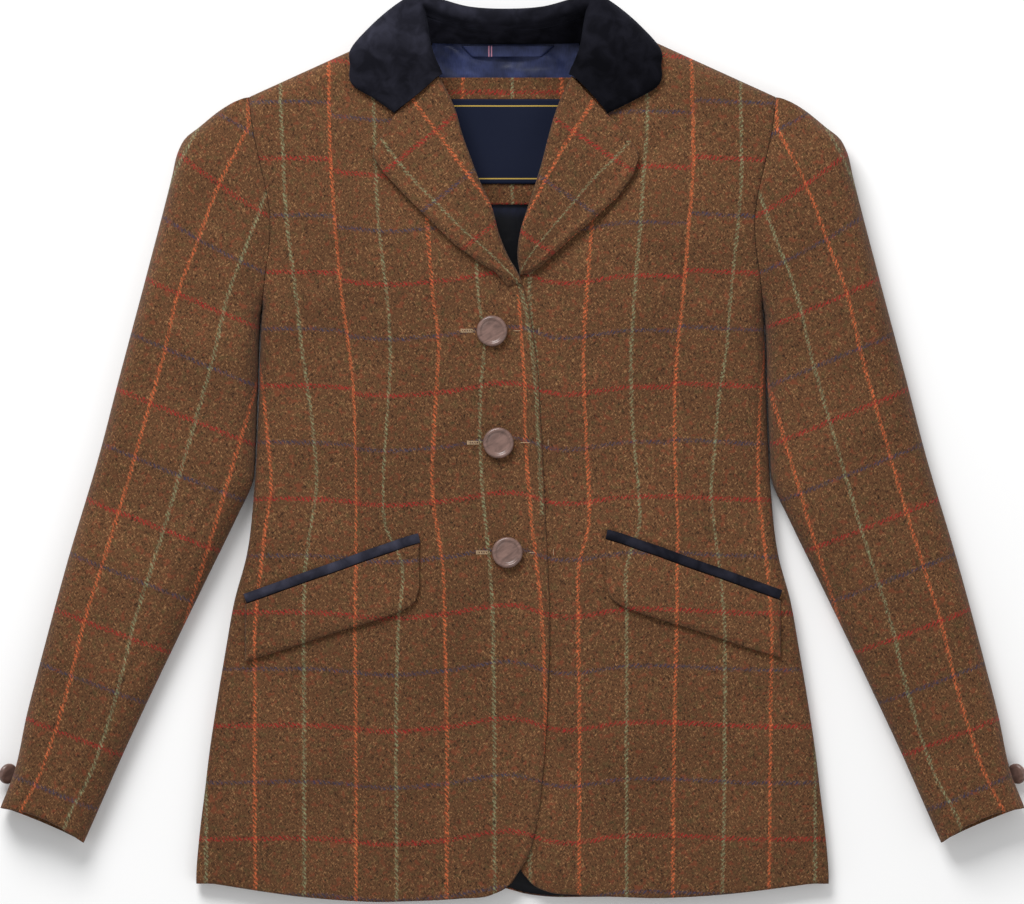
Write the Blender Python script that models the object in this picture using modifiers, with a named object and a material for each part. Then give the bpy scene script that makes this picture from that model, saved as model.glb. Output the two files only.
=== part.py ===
"""Child's equestrian show jacket in windowpane tweed with a velvet collar, laid flat on its back.

Metres. +X runs to the wearer's left, +Y from the hem to the collar, +Z up from the surface.
The wearer's right front closes over the left one. A half width is measured outwards from the
middle of the body, so one table serves both sides. Every panel is an open grid of points,
worked out from the tables below, and its wall comes from a Solidify modifier.
"""

import bmesh
import bpy
import numpy as np

RIGHT, LEFT = -1, 1  # the wearer's sides, as the sign of X
CENTRE_Y = 0.0019  # middle of the whole jacket's length, which the origin lies under

# Walls and gaps
TWEED = 0.0020
LAPEL = 0.0026
VELVET = 0.0024
LINING = 0.0010
LABEL = 0.0009
GAP = 0.0003  # between pieces that meet at a seam
REST = 0.0005  # under a piece that lies on another
RIM = 0.0015  # straight strip where two panels meet at a rolled edge

# Body
HEM_SIDE_Y = -0.2800
HEM_CORNER_Y = -0.2737
UNDERARM_Y = 0.0923
TIP_Y = 0.2298
BODY_ROLL = 0.0105  # how far in from the side the front turns down
BACK_ROLL = 0.0120
SHOULDER_ROLL = 0.0120
SHOULDER_SEAM_Z = 0.0120
SHOULDER_GAP = 0.0005
TIP_LIFT = 0.0005  # more than that at the shoulder's tip
TIP_SPREAD = 0.3  # share of their distance that the rim's points move apart at that tip
SHOULDER_SLOPE = 0.4545
ARMHOLE_REACH = 0.0250  # length over which the armhole opens from each end
ARMHOLE_VALLEY = 0.0006  # the sleeve seam lies this far below the front's crown
ARMHOLE_ROWS = (  # rows of the body and of the sleeve, which meet point for point
    UNDERARM_Y, 0.0945, 0.0990, 0.1070, 0.1190, 0.1350, 0.1520, 0.1690, 0.1860, 0.2020, 0.2150,
    0.2240, TIP_Y,
)
SIDE_ROWS = (
    HEM_SIDE_Y, -0.262, -0.236, -0.200, -0.162, -0.124, -0.088, -0.054, -0.020, 0.014, 0.044,
    0.072, *ARMHOLE_ROWS,
)
CENTRE_ROWS = (  # where the same rows meet a front's centre edge, below the end of the shoulder
    HEM_CORNER_Y, -0.2600, -0.2380, -0.2050, -0.1680, -0.1300, -0.0940, -0.0600, -0.0260, 0.0080,
    0.0380, 0.0640, 0.0830, 0.0935, 0.1022, 0.1095, 0.1150, 0.1205, 0.1290, 0.1420, 0.1600,
    0.1800, 0.2035, 0.2400,
)
SIDE_CLEAR = 0.0006  # between the body's side and the sleeve that lies along it
DOME = 0.045  # fall of the front's crown for each square metre of half width squared
OVERLAP_FLAT = 0.0030  # left front stays low this far beyond the right one's edge
OVERLAP_RAMP = 0.0200  # and comes up over this width
OVERLAP_TOP_Y = 0.1140  # above this the fronts part, and the left one comes up
NECK_TUCK = 0.0034  # front's edge inside the fold of its lapel
TUCK_RISE = 0.0090  # length of the roll line over which the edge comes inside the fold
BACK_COLUMNS = (-1, -0.70, -0.391, -0.315, -0.22, -0.03, 0.165, 0.265, 0.337, 0.67, 1)

# Sleeves
SLEEVE_ROLL = 0.0120
SLEEVE_AXIS = (0.257, -0.966)  # plan direction down the sleeve
SLEEVE_ROWS = (3, 8)  # from the underarm to where the sleeve leaves the side, then to the cuff
SLEEVE_LEAVES = 0.302  # that place, as a share of the inner side's length
LOWER_BOW = 0.0008  # the lower layer's rows rise this far in the middle
CUFF_BOW = 0.0050  # upper layer's cuff edge rises above the lower one's

# Lapels and collar
LAPEL_FOLD = 0.0040  # radius of the fold at the roll line
LAPEL_PUFF = 0.0035  # crown of the fold above the flat of the lapel
COLLAR_FOLD = 0.0038
STAND_SHARE = 0.74  # the stand ends this far up the collar's inner face
STAND_GAP = (0.0006, 0.0020)  # between stand and fall, along the neck and at its corners
CORNER_STATION = 6  # row of the collar's table where it turns from the neck to the front

# Pockets, buttons and neck trimmings
POCKET_REST = 0.0008  # under the welts and the flaps
WELT_WIDTH = 0.0066
WELT_WALL = 0.0014
WELT_RISE = 0.0012
FRONT_BUTTON_RADIUS = 0.0100
FRONT_BUTTON_DEPTH = 0.0042
CUFF_BUTTON_RADIUS = 0.0068
CUFF_BUTTON_DEPTH = 0.0032
FACING_HALF = (0.0600, 0.0480)  # half width at its top and bottom edge
FACING_Y = (0.2430, 0.1605)
LABEL_SIZE = (0.0710, 0.0550)
LABEL_CENTRE = (-0.0040, 0.2015)
LOOP_TOP_X, LOOP_LOW_X = (-0.0332, 0.0274), (-0.0263, 0.0189)
LOOP_Y = (0.2635, 0.2564)
LOOP_RISE = 0.0030
LINING_MARGIN = 0.0190  # inside the body's side and shoulder
LINING_NECK = 0.0016  # below the back's neck edge


def table(columns, rows):
    """An array for each named column, from one row for each section."""
    return dict(zip(columns.split(), np.transpose(rows)))


# Side of the body, then the armhole from the underarm up to the tip of the shoulder
SIDE = table("y half", [
    (-0.2950, 0.2050), (-0.2737, 0.2052), (-0.2500, 0.2033), (-0.2210, 0.1998),
    (-0.1950, 0.1967), (-0.1630, 0.1919), (-0.1274, 0.1859), (-0.0962, 0.1803),
    (-0.0676, 0.1726), (-0.0234, 0.1675), (0.0286, 0.1648), (0.0923, 0.1622),
    (0.1131, 0.1599), (0.1372, 0.1568), (0.1540, 0.1567), (0.1664, 0.1585),
    (0.1879, 0.1634), (0.2087, 0.1677), (0.2300, 0.1706),
])

# Centre edge of each front, from the hem's corner to where its lapel begins
CENTRE_EDGE = {
    RIGHT: table("y half", [
        (-0.2737, -0.0029), (-0.2633, -0.0094), (-0.2464, -0.0146), (-0.2080, -0.0198),
        (-0.1697, -0.0225), (-0.1060, -0.0241), (-0.0741, -0.0229), (-0.0182, -0.0203),
        (0.0208, -0.0183), (0.0540, -0.0162), (0.0826, -0.0124), (0.0949, -0.0102),
        (0.1022, -0.0082),
    ]),
    LEFT: table("y half", [
        (-0.2737, 0.0071), (-0.2633, 0.0006), (-0.2464, -0.0046), (-0.2080, -0.0098),
        (-0.1697, -0.0125), (-0.1060, -0.0141), (-0.0741, -0.0129), (-0.0182, -0.0103),
        (0.0208, -0.0083), (0.0540, -0.0062), (0.0826, -0.0026), (0.0975, 0.0003),
        (0.1080, 0.0035),
    ]),
}
NECK = {  # end of each shoulder seam
    RIGHT: table("y half", [(0.2585, 0.0560), (0.2792, 0.0620)]),
    LEFT: table("y half", [(0.2585, 0.0470), (0.2830, 0.0535)]),
}

# How far the hem hangs below a straight line from its corner (0) to the side (1)
HEM_BOW = table("share drop", [
    (0.00, 0.0000), (0.03, 0.0068), (0.08, 0.0116), (0.19, 0.0135), (0.35, 0.0141),
    (0.45, 0.0141), (0.55, 0.0128), (0.70, 0.0097), (0.87, 0.0045), (1.00, 0.0000),
])
HEM_BOW_SCALE = {RIGHT: 1.08, LEFT: 0.90}

# Back: its hem, a little of which shows where the fronts part, then its shoulders and neck
BACK_HEM = table("x y", [
    (-0.2050, -0.2800), (-0.1500, -0.2830), (-0.0900, -0.2845), (-0.0300, -0.2828),
    (-0.0042, -0.2835), (0.0080, -0.2868), (0.0200, -0.2885), (0.0500, -0.2890),
    (0.0900, -0.2882), (0.1360, -0.2856), (0.1800, -0.2815), (0.2050, -0.2800),
])
BACK_TOP = table("x y", [
    (-0.1706, 0.2298), (-0.0620, 0.2792), (-0.0500, 0.2716), (-0.0350, 0.2682),
    (-0.0200, 0.2670), (-0.0044, 0.2667), (0.0110, 0.2670), (0.0260, 0.2682),
    (0.0420, 0.2722), (0.0535, 0.2830), (0.1706, 0.2298),
])

# Height of the laid body: the front's crown, and the seam where front and back meet
BODY_HEIGHT = table("y crown seam", [
    (-0.2950, 0.0140, 0.0066), (-0.2000, 0.0155, 0.0072), (-0.1100, 0.0190, 0.0084),
    (-0.0300, 0.0182, 0.0084), (0.0400, 0.0212, 0.0096), (0.1100, 0.0260, 0.0114),
    (0.1800, 0.0276, 0.0120), (0.2350, 0.0262, 0.0120), (0.2850, 0.0250, 0.0120),
])

# Sleeve outlines, the outer one from the tip of the shoulder and the inner one from the
# underarm, and the sleeve's height at a share of its length
SLEEVE_OUTER = table("half y", [
    (0.1810, 0.2262), (0.1850, 0.2240), (0.1903, 0.2205), (0.2033, 0.2100), (0.2124, 0.2025),
    (0.2168, 0.1940), (0.2204, 0.1792), (0.2386, 0.1092), (0.2556, 0.0455), (0.2674, 0.0000),
    (0.2882, -0.0700), (0.3070, -0.1400), (0.3146, -0.1697), (0.3230, -0.2080), (0.3317, -0.2304),
])
SLEEVE_INNER = table("half y", [
    (0.1627, 0.0923), (0.1653, 0.0350), (0.1684, -0.0200), (0.1787, -0.0423),
    (0.2015, -0.0890), (0.2323, -0.1528), (0.2502, -0.1911), (0.2729, -0.2425),
    (0.2776, -0.2531),
])
SLEEVE_HEIGHT = table("along crown seam inner_reach", [
    (0.00, 0.0210, 0.0120, 0.0220), (0.06, 0.0290, 0.0112, 0.0220),
    (0.15, 0.0305, 0.0096, 0.0200), (0.27, 0.0300, 0.0084, 0.0160),
    (0.50, 0.0255, 0.0080, 0.0170), (0.75, 0.0245, 0.0086, 0.0220),
    (1.00, 0.0275, 0.0120, 0.0240),
])

# Lapels, a row for each section from the break up to the gorge seam: the fold, then the edge
LAPEL_ROWS = {
    RIGHT: table("roll_half roll_y edge_half edge_y", [
        (-0.0060, 0.1095, 0.0030, 0.1068), (-0.0026, 0.1176, 0.0105, 0.1155),
        (0.0007, 0.1228, 0.0205, 0.1215), (0.0081, 0.1394, 0.0370, 0.1335),
        (0.0135, 0.1586, 0.0510, 0.1470), (0.0219, 0.1768, 0.0700, 0.1660),
        (0.0280, 0.1930, 0.0840, 0.1810), (0.0318, 0.2035, 0.0910, 0.1924),
        (0.0380, 0.2240, 0.0830, 0.2065), (0.0474, 0.2425, 0.0744, 0.2199),
    ]),
    LEFT: table("roll_half roll_y edge_half edge_y", [
        (0.0046, 0.1145, 0.0110, 0.1150), (0.0043, 0.1180, 0.0175, 0.1190),
        (0.0034, 0.1235, 0.0245, 0.1255), (0.0049, 0.1417, 0.0400, 0.1395),
        (0.0091, 0.1557, 0.0545, 0.1520), (0.0146, 0.1726, 0.0680, 0.1645),
        (0.0195, 0.1890, 0.0780, 0.1790), (0.0231, 0.2035, 0.0824, 0.1924),
        (0.0290, 0.2230, 0.0715, 0.2065), (0.0380, 0.2425, 0.0598, 0.2195),
    ]),
}
LAPEL_INSIDE = table("above_break depth", [  # how far the fold reaches in below the crown
    (0, -REST), (TUCK_RISE, -REST), (0.0140, 0.0020), (0.1340, 0.0050),
])

# Collar, a row for each section from the gorge round to the middle of the back: the inner side
# and the top of the fold, the foot of the stand, the brow where the fall turns down, its edge
COLLAR_ROWS = table(
    "fold_half fold_y fold_z foot_half foot_y foot_z brow_half brow_y brow_z edge_half edge_y edge_z",
    [
        (.0430, .2432, .0325, .0430, .2432, .0225, .0550, .2315, .0306, .0676, .2202, .0291),
        (.0443, .2466, .0330, .0443, .2466, .0205, .0640, .2390, .0310, .0840, .2298, .0292),
        (.0466, .2515, .0340, .0466, .2515, .0180, .0730, .2468, .0318, .0976, .2384, .0290),
        (.0492, .2585, .0350, .0492, .2585, .0150, .0780, .2560, .0330, .0984, .2495, .0288),
        (.0511, .2656, .0355, .0510, .2634, .0115, .0840, .2668, .0335, .0975, .2600, .0262),
        (.0530, .2780, .0360, .0512, .2660, .0085, .0780, .2825, .0340, .0825, .2770, .0120),
        (.0535, .2880, .0360, .0480, .2668, .0064, .0600, .2945, .0340, .0640, .2885, .0030),
        (.0420, .2842, .0345, .0370, .2669, .0046, .0450, .2925, .0310, .0460, .2880, .0016),
        (.0240, .2785, .0325, .0200, .2670, .0038, .0240, .2874, .0280, .0240, .2830, .0012),
        (.0000, .2772, .0315, .0000, .2671, .0034, .0000, .2860, .0270, .0000, .2815, .0012),
    ],
)
NECK_AXIS_X = -0.0044  # the neck lies a little to the wearer's right, and so does the collar
COLLAR_POINT_SHIFT = -0.0030  # the collar's points lie further over than that

# Pocket, a row for each station along it: the welt's middle line, then the flap's lower edge
POCKET = table("half welt_y low_y", [
    (0.0602, -0.0556, -0.0870), (0.0620, -0.0560, -0.0945), (0.0650, -0.0568, -0.0985),
    (0.0700, -0.0583, -0.1018), (0.0790, -0.0615, -0.1056), (0.0930, -0.0662, -0.1102),
    (0.1120, -0.0732, -0.1160), (0.1340, -0.0808, -0.1232), (0.1540, -0.0880, -0.1298),
    (0.1730, -0.0948, -0.1354),
])

POCKET_SHIFT = {RIGHT: (0, 0), LEFT: (0.0005, 0.0025)}  # outwards and up

FRONT_BUTTONS = {
    "front_button_top": (-0.0132, 0.0783),
    "front_button_middle": (-0.0091, 0.0060),
    "front_button_bottom": (-0.0033, -0.0650),
}
CUFF_BUTTON_AT = (0.3262, -0.2092, 0.0074)  # middle of its back
CUFF_BUTTON_TILT = 0.75  # its face leans out from straight down by this angle, in radians
CUFF_BUTTON_TURN = 0.37  # and points this far up the arm from straight outwards

COLOURS = {  # red, green, blue, roughness
    "tweed": (0.150, 0.082, 0.042, 0.95),
    "velvet": (0.012, 0.015, 0.025, 0.85),
    "satin": (0.030, 0.035, 0.085, 0.45),
    "label": (0.012, 0.015, 0.035, 0.60),
    "horn": (0.150, 0.098, 0.085, 0.35),
}


# ---- curves and heights ----


def smooth(at, places, values):
    """Cubic curve through the table's points, its slope at each taken from its neighbours."""
    at = np.clip(at, places[0], places[-1])
    slopes = np.gradient(values, places)
    i = np.clip(np.searchsorted(places, at, side="right") - 1, 0, len(places) - 2)
    step = places[i + 1] - places[i]
    t = (at - places[i]) / step
    bend = step * t * (1 - t) * (slopes[i] * (1 - t) - slopes[i + 1] * t)
    return values[i] + (values[i + 1] - values[i]) * ease(t) + bend


def ease(t):
    """0 below t = 0, 1 above t = 1, and a smooth rise between."""
    t = np.clip(t, 0, 1)
    return t * t * (3 - 2 * t)


def arch(distance, reach):
    """Quarter of an ellipse: 0 at the edge, 1 from reach inwards."""
    return np.sqrt(1 - (1 - np.clip(distance / reach, 0, 1)) ** 2)


def rail(outline, share):
    """Points at a share of the length along a smooth outline."""
    half, y = outline["half"], outline["y"]
    length = np.concatenate([[0], np.cumsum(np.hypot(np.diff(half), np.diff(y)))])
    length = length / length[-1]
    return np.stack([smooth(share, length, half), smooth(share, length, y)], axis=-1)


def turn(reach):
    """Distances in from a rolled edge, at even angles round its turn."""
    return reach * (1 - np.cos(np.radians([0, 26, 50, 90])))


def crown(half, y):
    return smooth(y, BODY_HEIGHT["y"], BODY_HEIGHT["crown"]) - DOME * half**2


def seam(y):
    return smooth(y, BODY_HEIGHT["y"], BODY_HEIGHT["seam"])


def side(y):
    return smooth(y, SIDE["y"], SIDE["half"])


def edge_line(which):
    """Centre edge of a front from the hem to the neck; above the break it is the roll line."""
    low, roll, neck = CENTRE_EDGE[which], LAPEL_ROWS[which], NECK[which]
    y = np.concatenate([low["y"], roll["roll_y"], neck["y"]])
    return y, np.concatenate([low["half"], roll["roll_half"], neck["half"]])


def overlap(y):
    """How far the right front's edge lies beyond the middle, towards the left."""
    return -smooth(y, *edge_line(RIGHT))


def armhole(y):
    """How far the armhole is open: 0 at the underarm and at the shoulder's tip, 1 between."""
    inside = np.minimum(y - UNDERARM_Y, TIP_Y - y)
    return arch(np.maximum(inside, 0), ARMHOLE_REACH)


def armhole_z(y):
    """Height of the front's rim along the side and the armhole."""
    top = crown(side(y), y) - ARMHOLE_VALLEY
    return seam(y) + GAP / 2 + (top - seam(y)) * armhole(y)


def below_shoulder(which, half, y):
    """Distance below the shoulder line, square to it."""
    neck_half, neck_y = NECK[which]["half"][-1], NECK[which]["y"][-1]
    line = neck_y - SHOULDER_SLOPE * (half - neck_half)
    return (line - y) / np.hypot(1, SHOULDER_SLOPE)


def front_z(which, half, y):
    """Outer surface of a front over a point of the plan."""
    top = crown(half, y)
    if which == LEFT:
        beyond = half - overlap(y) - OVERLAP_FLAT
        under = (1 - ease(beyond / OVERLAP_RAMP)) * (1 - ease((y - OVERLAP_TOP_Y) / OVERLAP_RAMP))
        top = top - (TWEED + GAP) * under
    closed = 1 - armhole(y)
    edge = armhole_z(y) + RIM * closed
    inside = side(y) - GAP / 2 - RIM * (1 - closed) - half
    top = edge + (top - edge) * arch(inside, BODY_ROLL)
    low = SHOULDER_SEAM_Z + SHOULDER_GAP / 2 + RIM
    return low + (top - low) * arch(below_shoulder(which, half, y), SHOULDER_ROLL)


# ---- points of each panel ----


def front_points(which):
    """A front: rows from the hem to the shoulder, columns from the centre edge to the side."""
    side_y = np.array(SIDE_ROWS)[:, None]
    edge_y, edge_half = edge_line(which)
    centre_y = np.array([*CENTRE_ROWS, edge_y[-1]])[:, None]
    v = (centre_y - HEM_CORNER_Y) / (edge_y[-1] - HEM_CORNER_Y)
    above = (centre_y - LAPEL_ROWS[which]["roll_y"][0]) / TUCK_RISE
    tuck = NECK_TUCK * ease(above) * (1 - ease((centre_y - 0.256) / 0.020))
    centre = smooth(centre_y, edge_y, edge_half) + tuck

    outer = side(centre_y) - BODY_ROLL
    kink = np.maximum(overlap(centre_y) + OVERLAP_FLAT - centre, 0.006)
    up = OVERLAP_RAMP * np.array([[0, 1 / 3, 2 / 3]])
    first = np.concatenate([0 * kink, 0.45 * kink, kink + up], axis=1)
    start = (kink + OVERLAP_RAMP) / (outer - centre)
    share = np.concatenate(
        [
            first / (outer - centre),
            start + (1 - start) * np.array([[0, 0.25, 0.5, 0.75]]),
            np.ones((len(v), 4)),
        ],
        axis=1,
    )
    inset = np.concatenate([np.full(9, BODY_ROLL), turn(BODY_ROLL)[::-1]])[None, :]
    bow = smooth(share, HEM_BOW["share"], HEM_BOW["drop"]) * HEM_BOW_SCALE[which]
    end = side(side_y) - GAP / 2
    half = centre + (end - RIM * armhole(side_y) - inset - centre) * share
    level = (half - centre) / (end - centre)
    y = centre_y + (side_y - centre_y) * level - bow * (1 - v) ** 3
    half = half + (side(y) - side(side_y)) * level
    points = np.stack([half, y, front_z(which, half, y)], axis=-1)

    rim = np.stack([side(side_y) - GAP / 2, side_y, armhole_z(side_y)], axis=-1)
    points = np.concatenate([points, rim], axis=1)
    top = points[-1:].copy()
    top[..., 2] = SHOULDER_SEAM_Z + SHOULDER_GAP / 2
    top[0, -1, 2] += TIP_LIFT
    points[-1, -1, 2] += TIP_LIFT
    points = np.concatenate([points, top])
    square_tip(points, -1, -1)
    return points * (which, 1, 1)


def back_points():
    """The back's underside: rows from the hem to the shoulders and neck, columns across it."""
    side_y = np.array(SIDE_ROWS)[:, None]
    v = (side_y - HEM_SIDE_Y) / (TIP_Y - HEM_SIDE_Y)
    open_edge = armhole(side_y)
    flats = np.array(BACK_COLUMNS)
    turns = turn(BACK_ROLL)[:-1]
    share = np.concatenate([-np.ones(len(turns)), flats, np.ones(len(turns))])[None, :]
    inset = np.concatenate([turns, np.full(len(flats), BACK_ROLL), turns[::-1]])[None, :]
    x = share * (side(side_y) - GAP / 2 - RIM * open_edge - inset)
    hem = smooth(x / side(side_y) * 0.205, BACK_HEM["x"], BACK_HEM["y"])
    top = np.interp(x / side(side_y) * 0.1706, BACK_TOP["x"], BACK_TOP["y"])
    y = hem + (top - hem) * v

    edge_z = (seam(side_y) - GAP / 2) * (1 - open_edge)
    z = (edge_z - RIM * (1 - open_edge)) * (1 - arch(inset, BACK_ROLL))
    shoulder = ease((np.abs(x - NECK_AXIS_X) - 0.050) / 0.012)
    low = (SHOULDER_SEAM_Z - SHOULDER_GAP / 2 - RIM) * shoulder
    z = z + (low - z) * shoulder * (1 - arch((top - y) * 0.91, SHOULDER_ROLL))
    points = np.stack([x, y, z], axis=-1)

    rims = [
        np.stack([sign * (side(side_y) - GAP / 2), side_y, edge_z], axis=-1)
        for sign in (RIGHT, LEFT)
    ]
    points = np.concatenate([rims[0], points, rims[1]], axis=1)
    ridge = points[-1:].copy()
    ridge[..., 2] = ridge[..., 2] + RIM * np.concatenate([[[1]], shoulder[-1:], [[1]]], axis=1)
    ridge[0, [0, -1], 2] = SHOULDER_SEAM_Z - SHOULDER_GAP / 2
    neck = (1 - shoulder[-1]) * RIM
    ridge[0, 1:-1, 1] += neck
    points = np.concatenate([points, ridge])
    square_tip(points, -1, 0)
    square_tip(points, -1, -1)
    return points


def square_tip(points, end, foot):
    """Spreads the points beside the rim's corner along their edges, so its faces have an area."""
    row, column = (1 if end == 0 else -2), (1 if foot == 0 else -2)
    row_step, column_step = np.sign(row), np.sign(column)
    points[end, column] += TIP_SPREAD * (points[end, column + column_step] - points[end, column])
    points[row, foot] += TIP_SPREAD * (points[row + row_step, foot] - points[row, foot])


def sleeve_edges():
    """Ends of the sleeve's rows: its inner side from the shoulder's tip to the cuff, its outer
    side at the same distance down the sleeve, and each row's share of that distance."""
    hole_y = np.array(ARMHOLE_ROWS[::-1])
    hole = np.stack([side(hole_y), hole_y], axis=-1)
    beside = np.linspace(0, SLEEVE_LEAVES, SLEEVE_ROWS[0] + 1)[1:]
    clear = np.linspace(SLEEVE_LEAVES, 1, SLEEVE_ROWS[1] + 1)[1:]
    low = rail(SLEEVE_INNER, np.concatenate([beside, clear]))
    low[:, 0] = np.maximum(low[:, 0], side(low[:, 1]) + SIDE_CLEAR)
    inner = np.concatenate([hole, low])
    down = (inner - hole[0]) @ SLEEVE_AXIS
    along = down / down[-1]
    share = np.linspace(0, 1, 200)
    rail_down = rail(SLEEVE_OUTER, share) @ SLEEVE_AXIS
    rail_down = rail_down - rail_down[0]
    outer = rail(SLEEVE_OUTER, np.interp(along, rail_down / rail_down[-1], share))
    return inner, outer, along[:, None]


def sleeve_points(which, upper):
    """Upper or lower layer: rows from the shoulder's tip to the cuff, columns outer to inner."""
    inner, outer, along = sleeve_edges()
    peak, low, reach = (
        smooth(along, SLEEVE_HEIGHT["along"], SLEEVE_HEIGHT[name])
        for name in ("crown", "seam", "inner_reach")
    )
    y = inner[:, 1:]
    in_hole = y >= UNDERARM_Y
    hole_open = armhole(y)
    inner_seam = np.where(in_hole, seam(y), low)
    inner = inner[:, None] + np.stack([GAP / 2 + RIM * hole_open, 0 * y], axis=-1)
    outer = outer[:, None]
    width = np.linalg.norm(inner - outer, axis=-1)
    outer_reach, reach = np.minimum(SLEEVE_ROLL, 0.45 * width), np.minimum(reach, 0.45 * width)
    outer_turn = turn(1)[None, :] * outer_reach
    inner_turn = width - turn(1)[::-1][None, :] * reach
    flats = np.linspace(0, 1, 5)[1:-1][None, :]
    start, end = outer_turn[:, -1:], inner_turn[:, :1]
    inset = np.concatenate([outer_turn, start + (end - start) * flats, inner_turn], axis=1)
    share = inset / width
    plan = outer + (inner - outer) * share[..., None]

    from_inner = (width - inset) / reach
    soft = np.sin(np.clip(from_inner, 0, 1) * np.pi / 2)
    inner_rise = arch(from_inner, 1) + (soft - arch(from_inner, 1)) * hole_open
    outer_rise = arch(inset, outer_reach)
    bow = 4 * share * (1 - share) * (CUFF_BOW * along**14 if upper else LOWER_BOW)
    plan = plan + bow[..., None] * np.array([-0.3, 1])
    if upper:
        outer_rim = low + GAP / 2
        hole_top = crown(side(y), y) - ARMHOLE_VALLEY
        inner_rim = inner_seam + GAP / 2 + (hole_top - inner_seam) * hole_open
        lift, top = RIM, peak
    else:
        outer_rim = low - GAP / 2
        inner_rim = (inner_seam - GAP / 2) * (1 - hole_open)
        lift, top = -RIM, 0 * peak
    outer_edge, inner_edge = outer_rim + lift, inner_rim + lift * (1 - hole_open)
    z = top - (top - outer_edge) * (1 - outer_rise) - (top - inner_edge) * (1 - inner_rise)
    z[0] = outer_edge[0]
    points = np.concatenate([plan, z[..., None]], axis=-1)

    outer_foot, inner_foot = points[:, :1].copy(), points[:, -1:].copy()
    outer_foot[..., 2] = outer_rim
    inner_foot[..., 0] = side(y) + GAP / 2
    inner_foot[~in_hole[:, 0], 0, 0] = points[~in_hole[:, 0], -1, 0]
    inner_foot[..., 2] = inner_rim
    points = np.concatenate([outer_foot, points, inner_foot], axis=1)
    end = points[:1].copy()
    end[..., 2] = outer_rim[0]
    points = np.concatenate([end, points])
    square_tip(points, 0, 0)
    square_tip(points, 0, -1)
    return points * (which, 1, 1)


def lapel_points(which):
    """A lapel: rows from the break to the gorge seam, columns from inside the fold to its edge."""
    rows = LAPEL_ROWS[which]
    station = np.arange(len(rows["roll_y"]))
    at = np.linspace(0, station[-1], 2 * station[-1] + 1)
    roll_y = smooth(at, station, rows["roll_y"])
    roll = np.stack([smooth(roll_y, *edge_line(which)), roll_y], axis=-1)
    edge = [np.interp(at, station, rows[name]) for name in ("edge_half", "edge_y")]
    edge = np.stack(edge, axis=-1)
    width = np.linalg.norm(edge - roll, axis=-1)[:, None]
    high = REST + LAPEL + LAPEL_PUFF * np.minimum(1, width / 0.03)
    fold = np.minimum(np.minimum(LAPEL_FOLD, 0.42 * width), high - REST - 0.0006)
    angle = np.radians([0, 30, 60, 90])[None, :]
    flat = np.array([0.2, 0.45, 0.72, 1.0])[None, :]
    above = roll_y - rows["roll_y"][0]
    inside = np.interp(above, LAPEL_INSIDE["above_break"], LAPEL_INSIDE["depth"])[:, None]
    out = np.concatenate(
        [0 * fold, fold * (1 - np.cos(angle)), fold + (width - fold) * flat], axis=1
    )
    lift = np.concatenate(
        [
            -inside,
            high - fold + fold * np.sin(angle),
            REST + LAPEL + (high - REST - LAPEL) * (1 - flat) ** 2,
        ],
        axis=1,
    )
    plan = roll[:, None] + (edge - roll)[:, None] * (out / width)[..., None]
    base = front_z(which, plan[..., 0], plan[..., 1])
    return np.concatenate([plan, (base + lift)[..., None]], axis=-1) * (which, 1, 1)


def collar_sections():
    """The stand and the fall: rows from the right gorge to the left one, columns foot to edge."""
    count = len(COLLAR_ROWS["fold_y"])
    station = np.arange(2 * count - 1)
    mirror = np.concatenate([np.arange(count), np.arange(count - 1)[::-1]])
    sign = np.where(station < count, RIGHT, LEFT)
    at = np.linspace(0, station[-1], 2 * station[-1] + 1)

    def line(name):
        half = COLLAR_ROWS[name + "_half"][mirror] * sign + NECK_AXIS_X
        if name == "edge":
            half[[0, -1]] += COLLAR_POINT_SHIFT
        y, z = COLLAR_ROWS[name + "_y"][mirror], COLLAR_ROWS[name + "_z"][mirror]
        return np.stack([smooth(at, station, values) for values in (half, y, z)], axis=-1)

    fold, foot, brow, edge = (line(name)[:, None] for name in ("fold", "foot", "brow", "edge"))
    out = (brow - fold) * (1, 1, 0)
    out = out / np.linalg.norm(out, axis=-1, keepdims=True)
    up = np.array([0, 0, COLLAR_FOLD])
    inner = fold - up
    rise = np.array([0, 0.37, STAND_SHARE, 0.9])[None, :, None]
    angle = np.radians([0, 30, 60, 90])[None, :, None]
    t = np.array([0.3, 0.58, 0.8, 1.0])[None, :, None]
    top = fold + out * COLLAR_FOLD
    lead = top + out * 0.45 * np.linalg.norm((brow - top) * (1, 1, 0), axis=-1, keepdims=True)
    fall = (
        top * (1 - t) ** 3
        + lead * 3 * t * (1 - t) ** 2
        + brow * 3 * t * t * (1 - t)
        + edge * t**3
    )
    wall = inner - foot
    from_corner = np.abs(np.minimum(at, station[-1] - at) - CORNER_STATION)[:, None, None]
    gap = STAND_GAP[0] + (STAND_GAP[1] - STAND_GAP[0]) * (1 - ease(from_corner / 1.5))
    slit = wall / np.linalg.norm(wall, axis=-1, keepdims=True) * gap / 2
    face = foot + wall * rise
    turnover = inner + out * COLLAR_FOLD * (1 - np.cos(angle)) + up * np.sin(angle)
    stand = np.concatenate([face[:, :2], face[:, 2:3] - slit], axis=1)
    return stand, np.concatenate([face[:, 2:3] + slit, face[:, 3:], turnover, fall], axis=1)


def pocket(which):
    """A pocket's stations, the welt's middle line, the flap's lower edge and the line's slope."""
    out, up = POCKET_SHIFT[which]
    slope = np.gradient(POCKET["welt_y"], POCKET["half"])
    rows = POCKET["half"] + out, POCKET["welt_y"] + up, POCKET["low_y"] + up, slope
    return [row[None, :] for row in rows]


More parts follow.
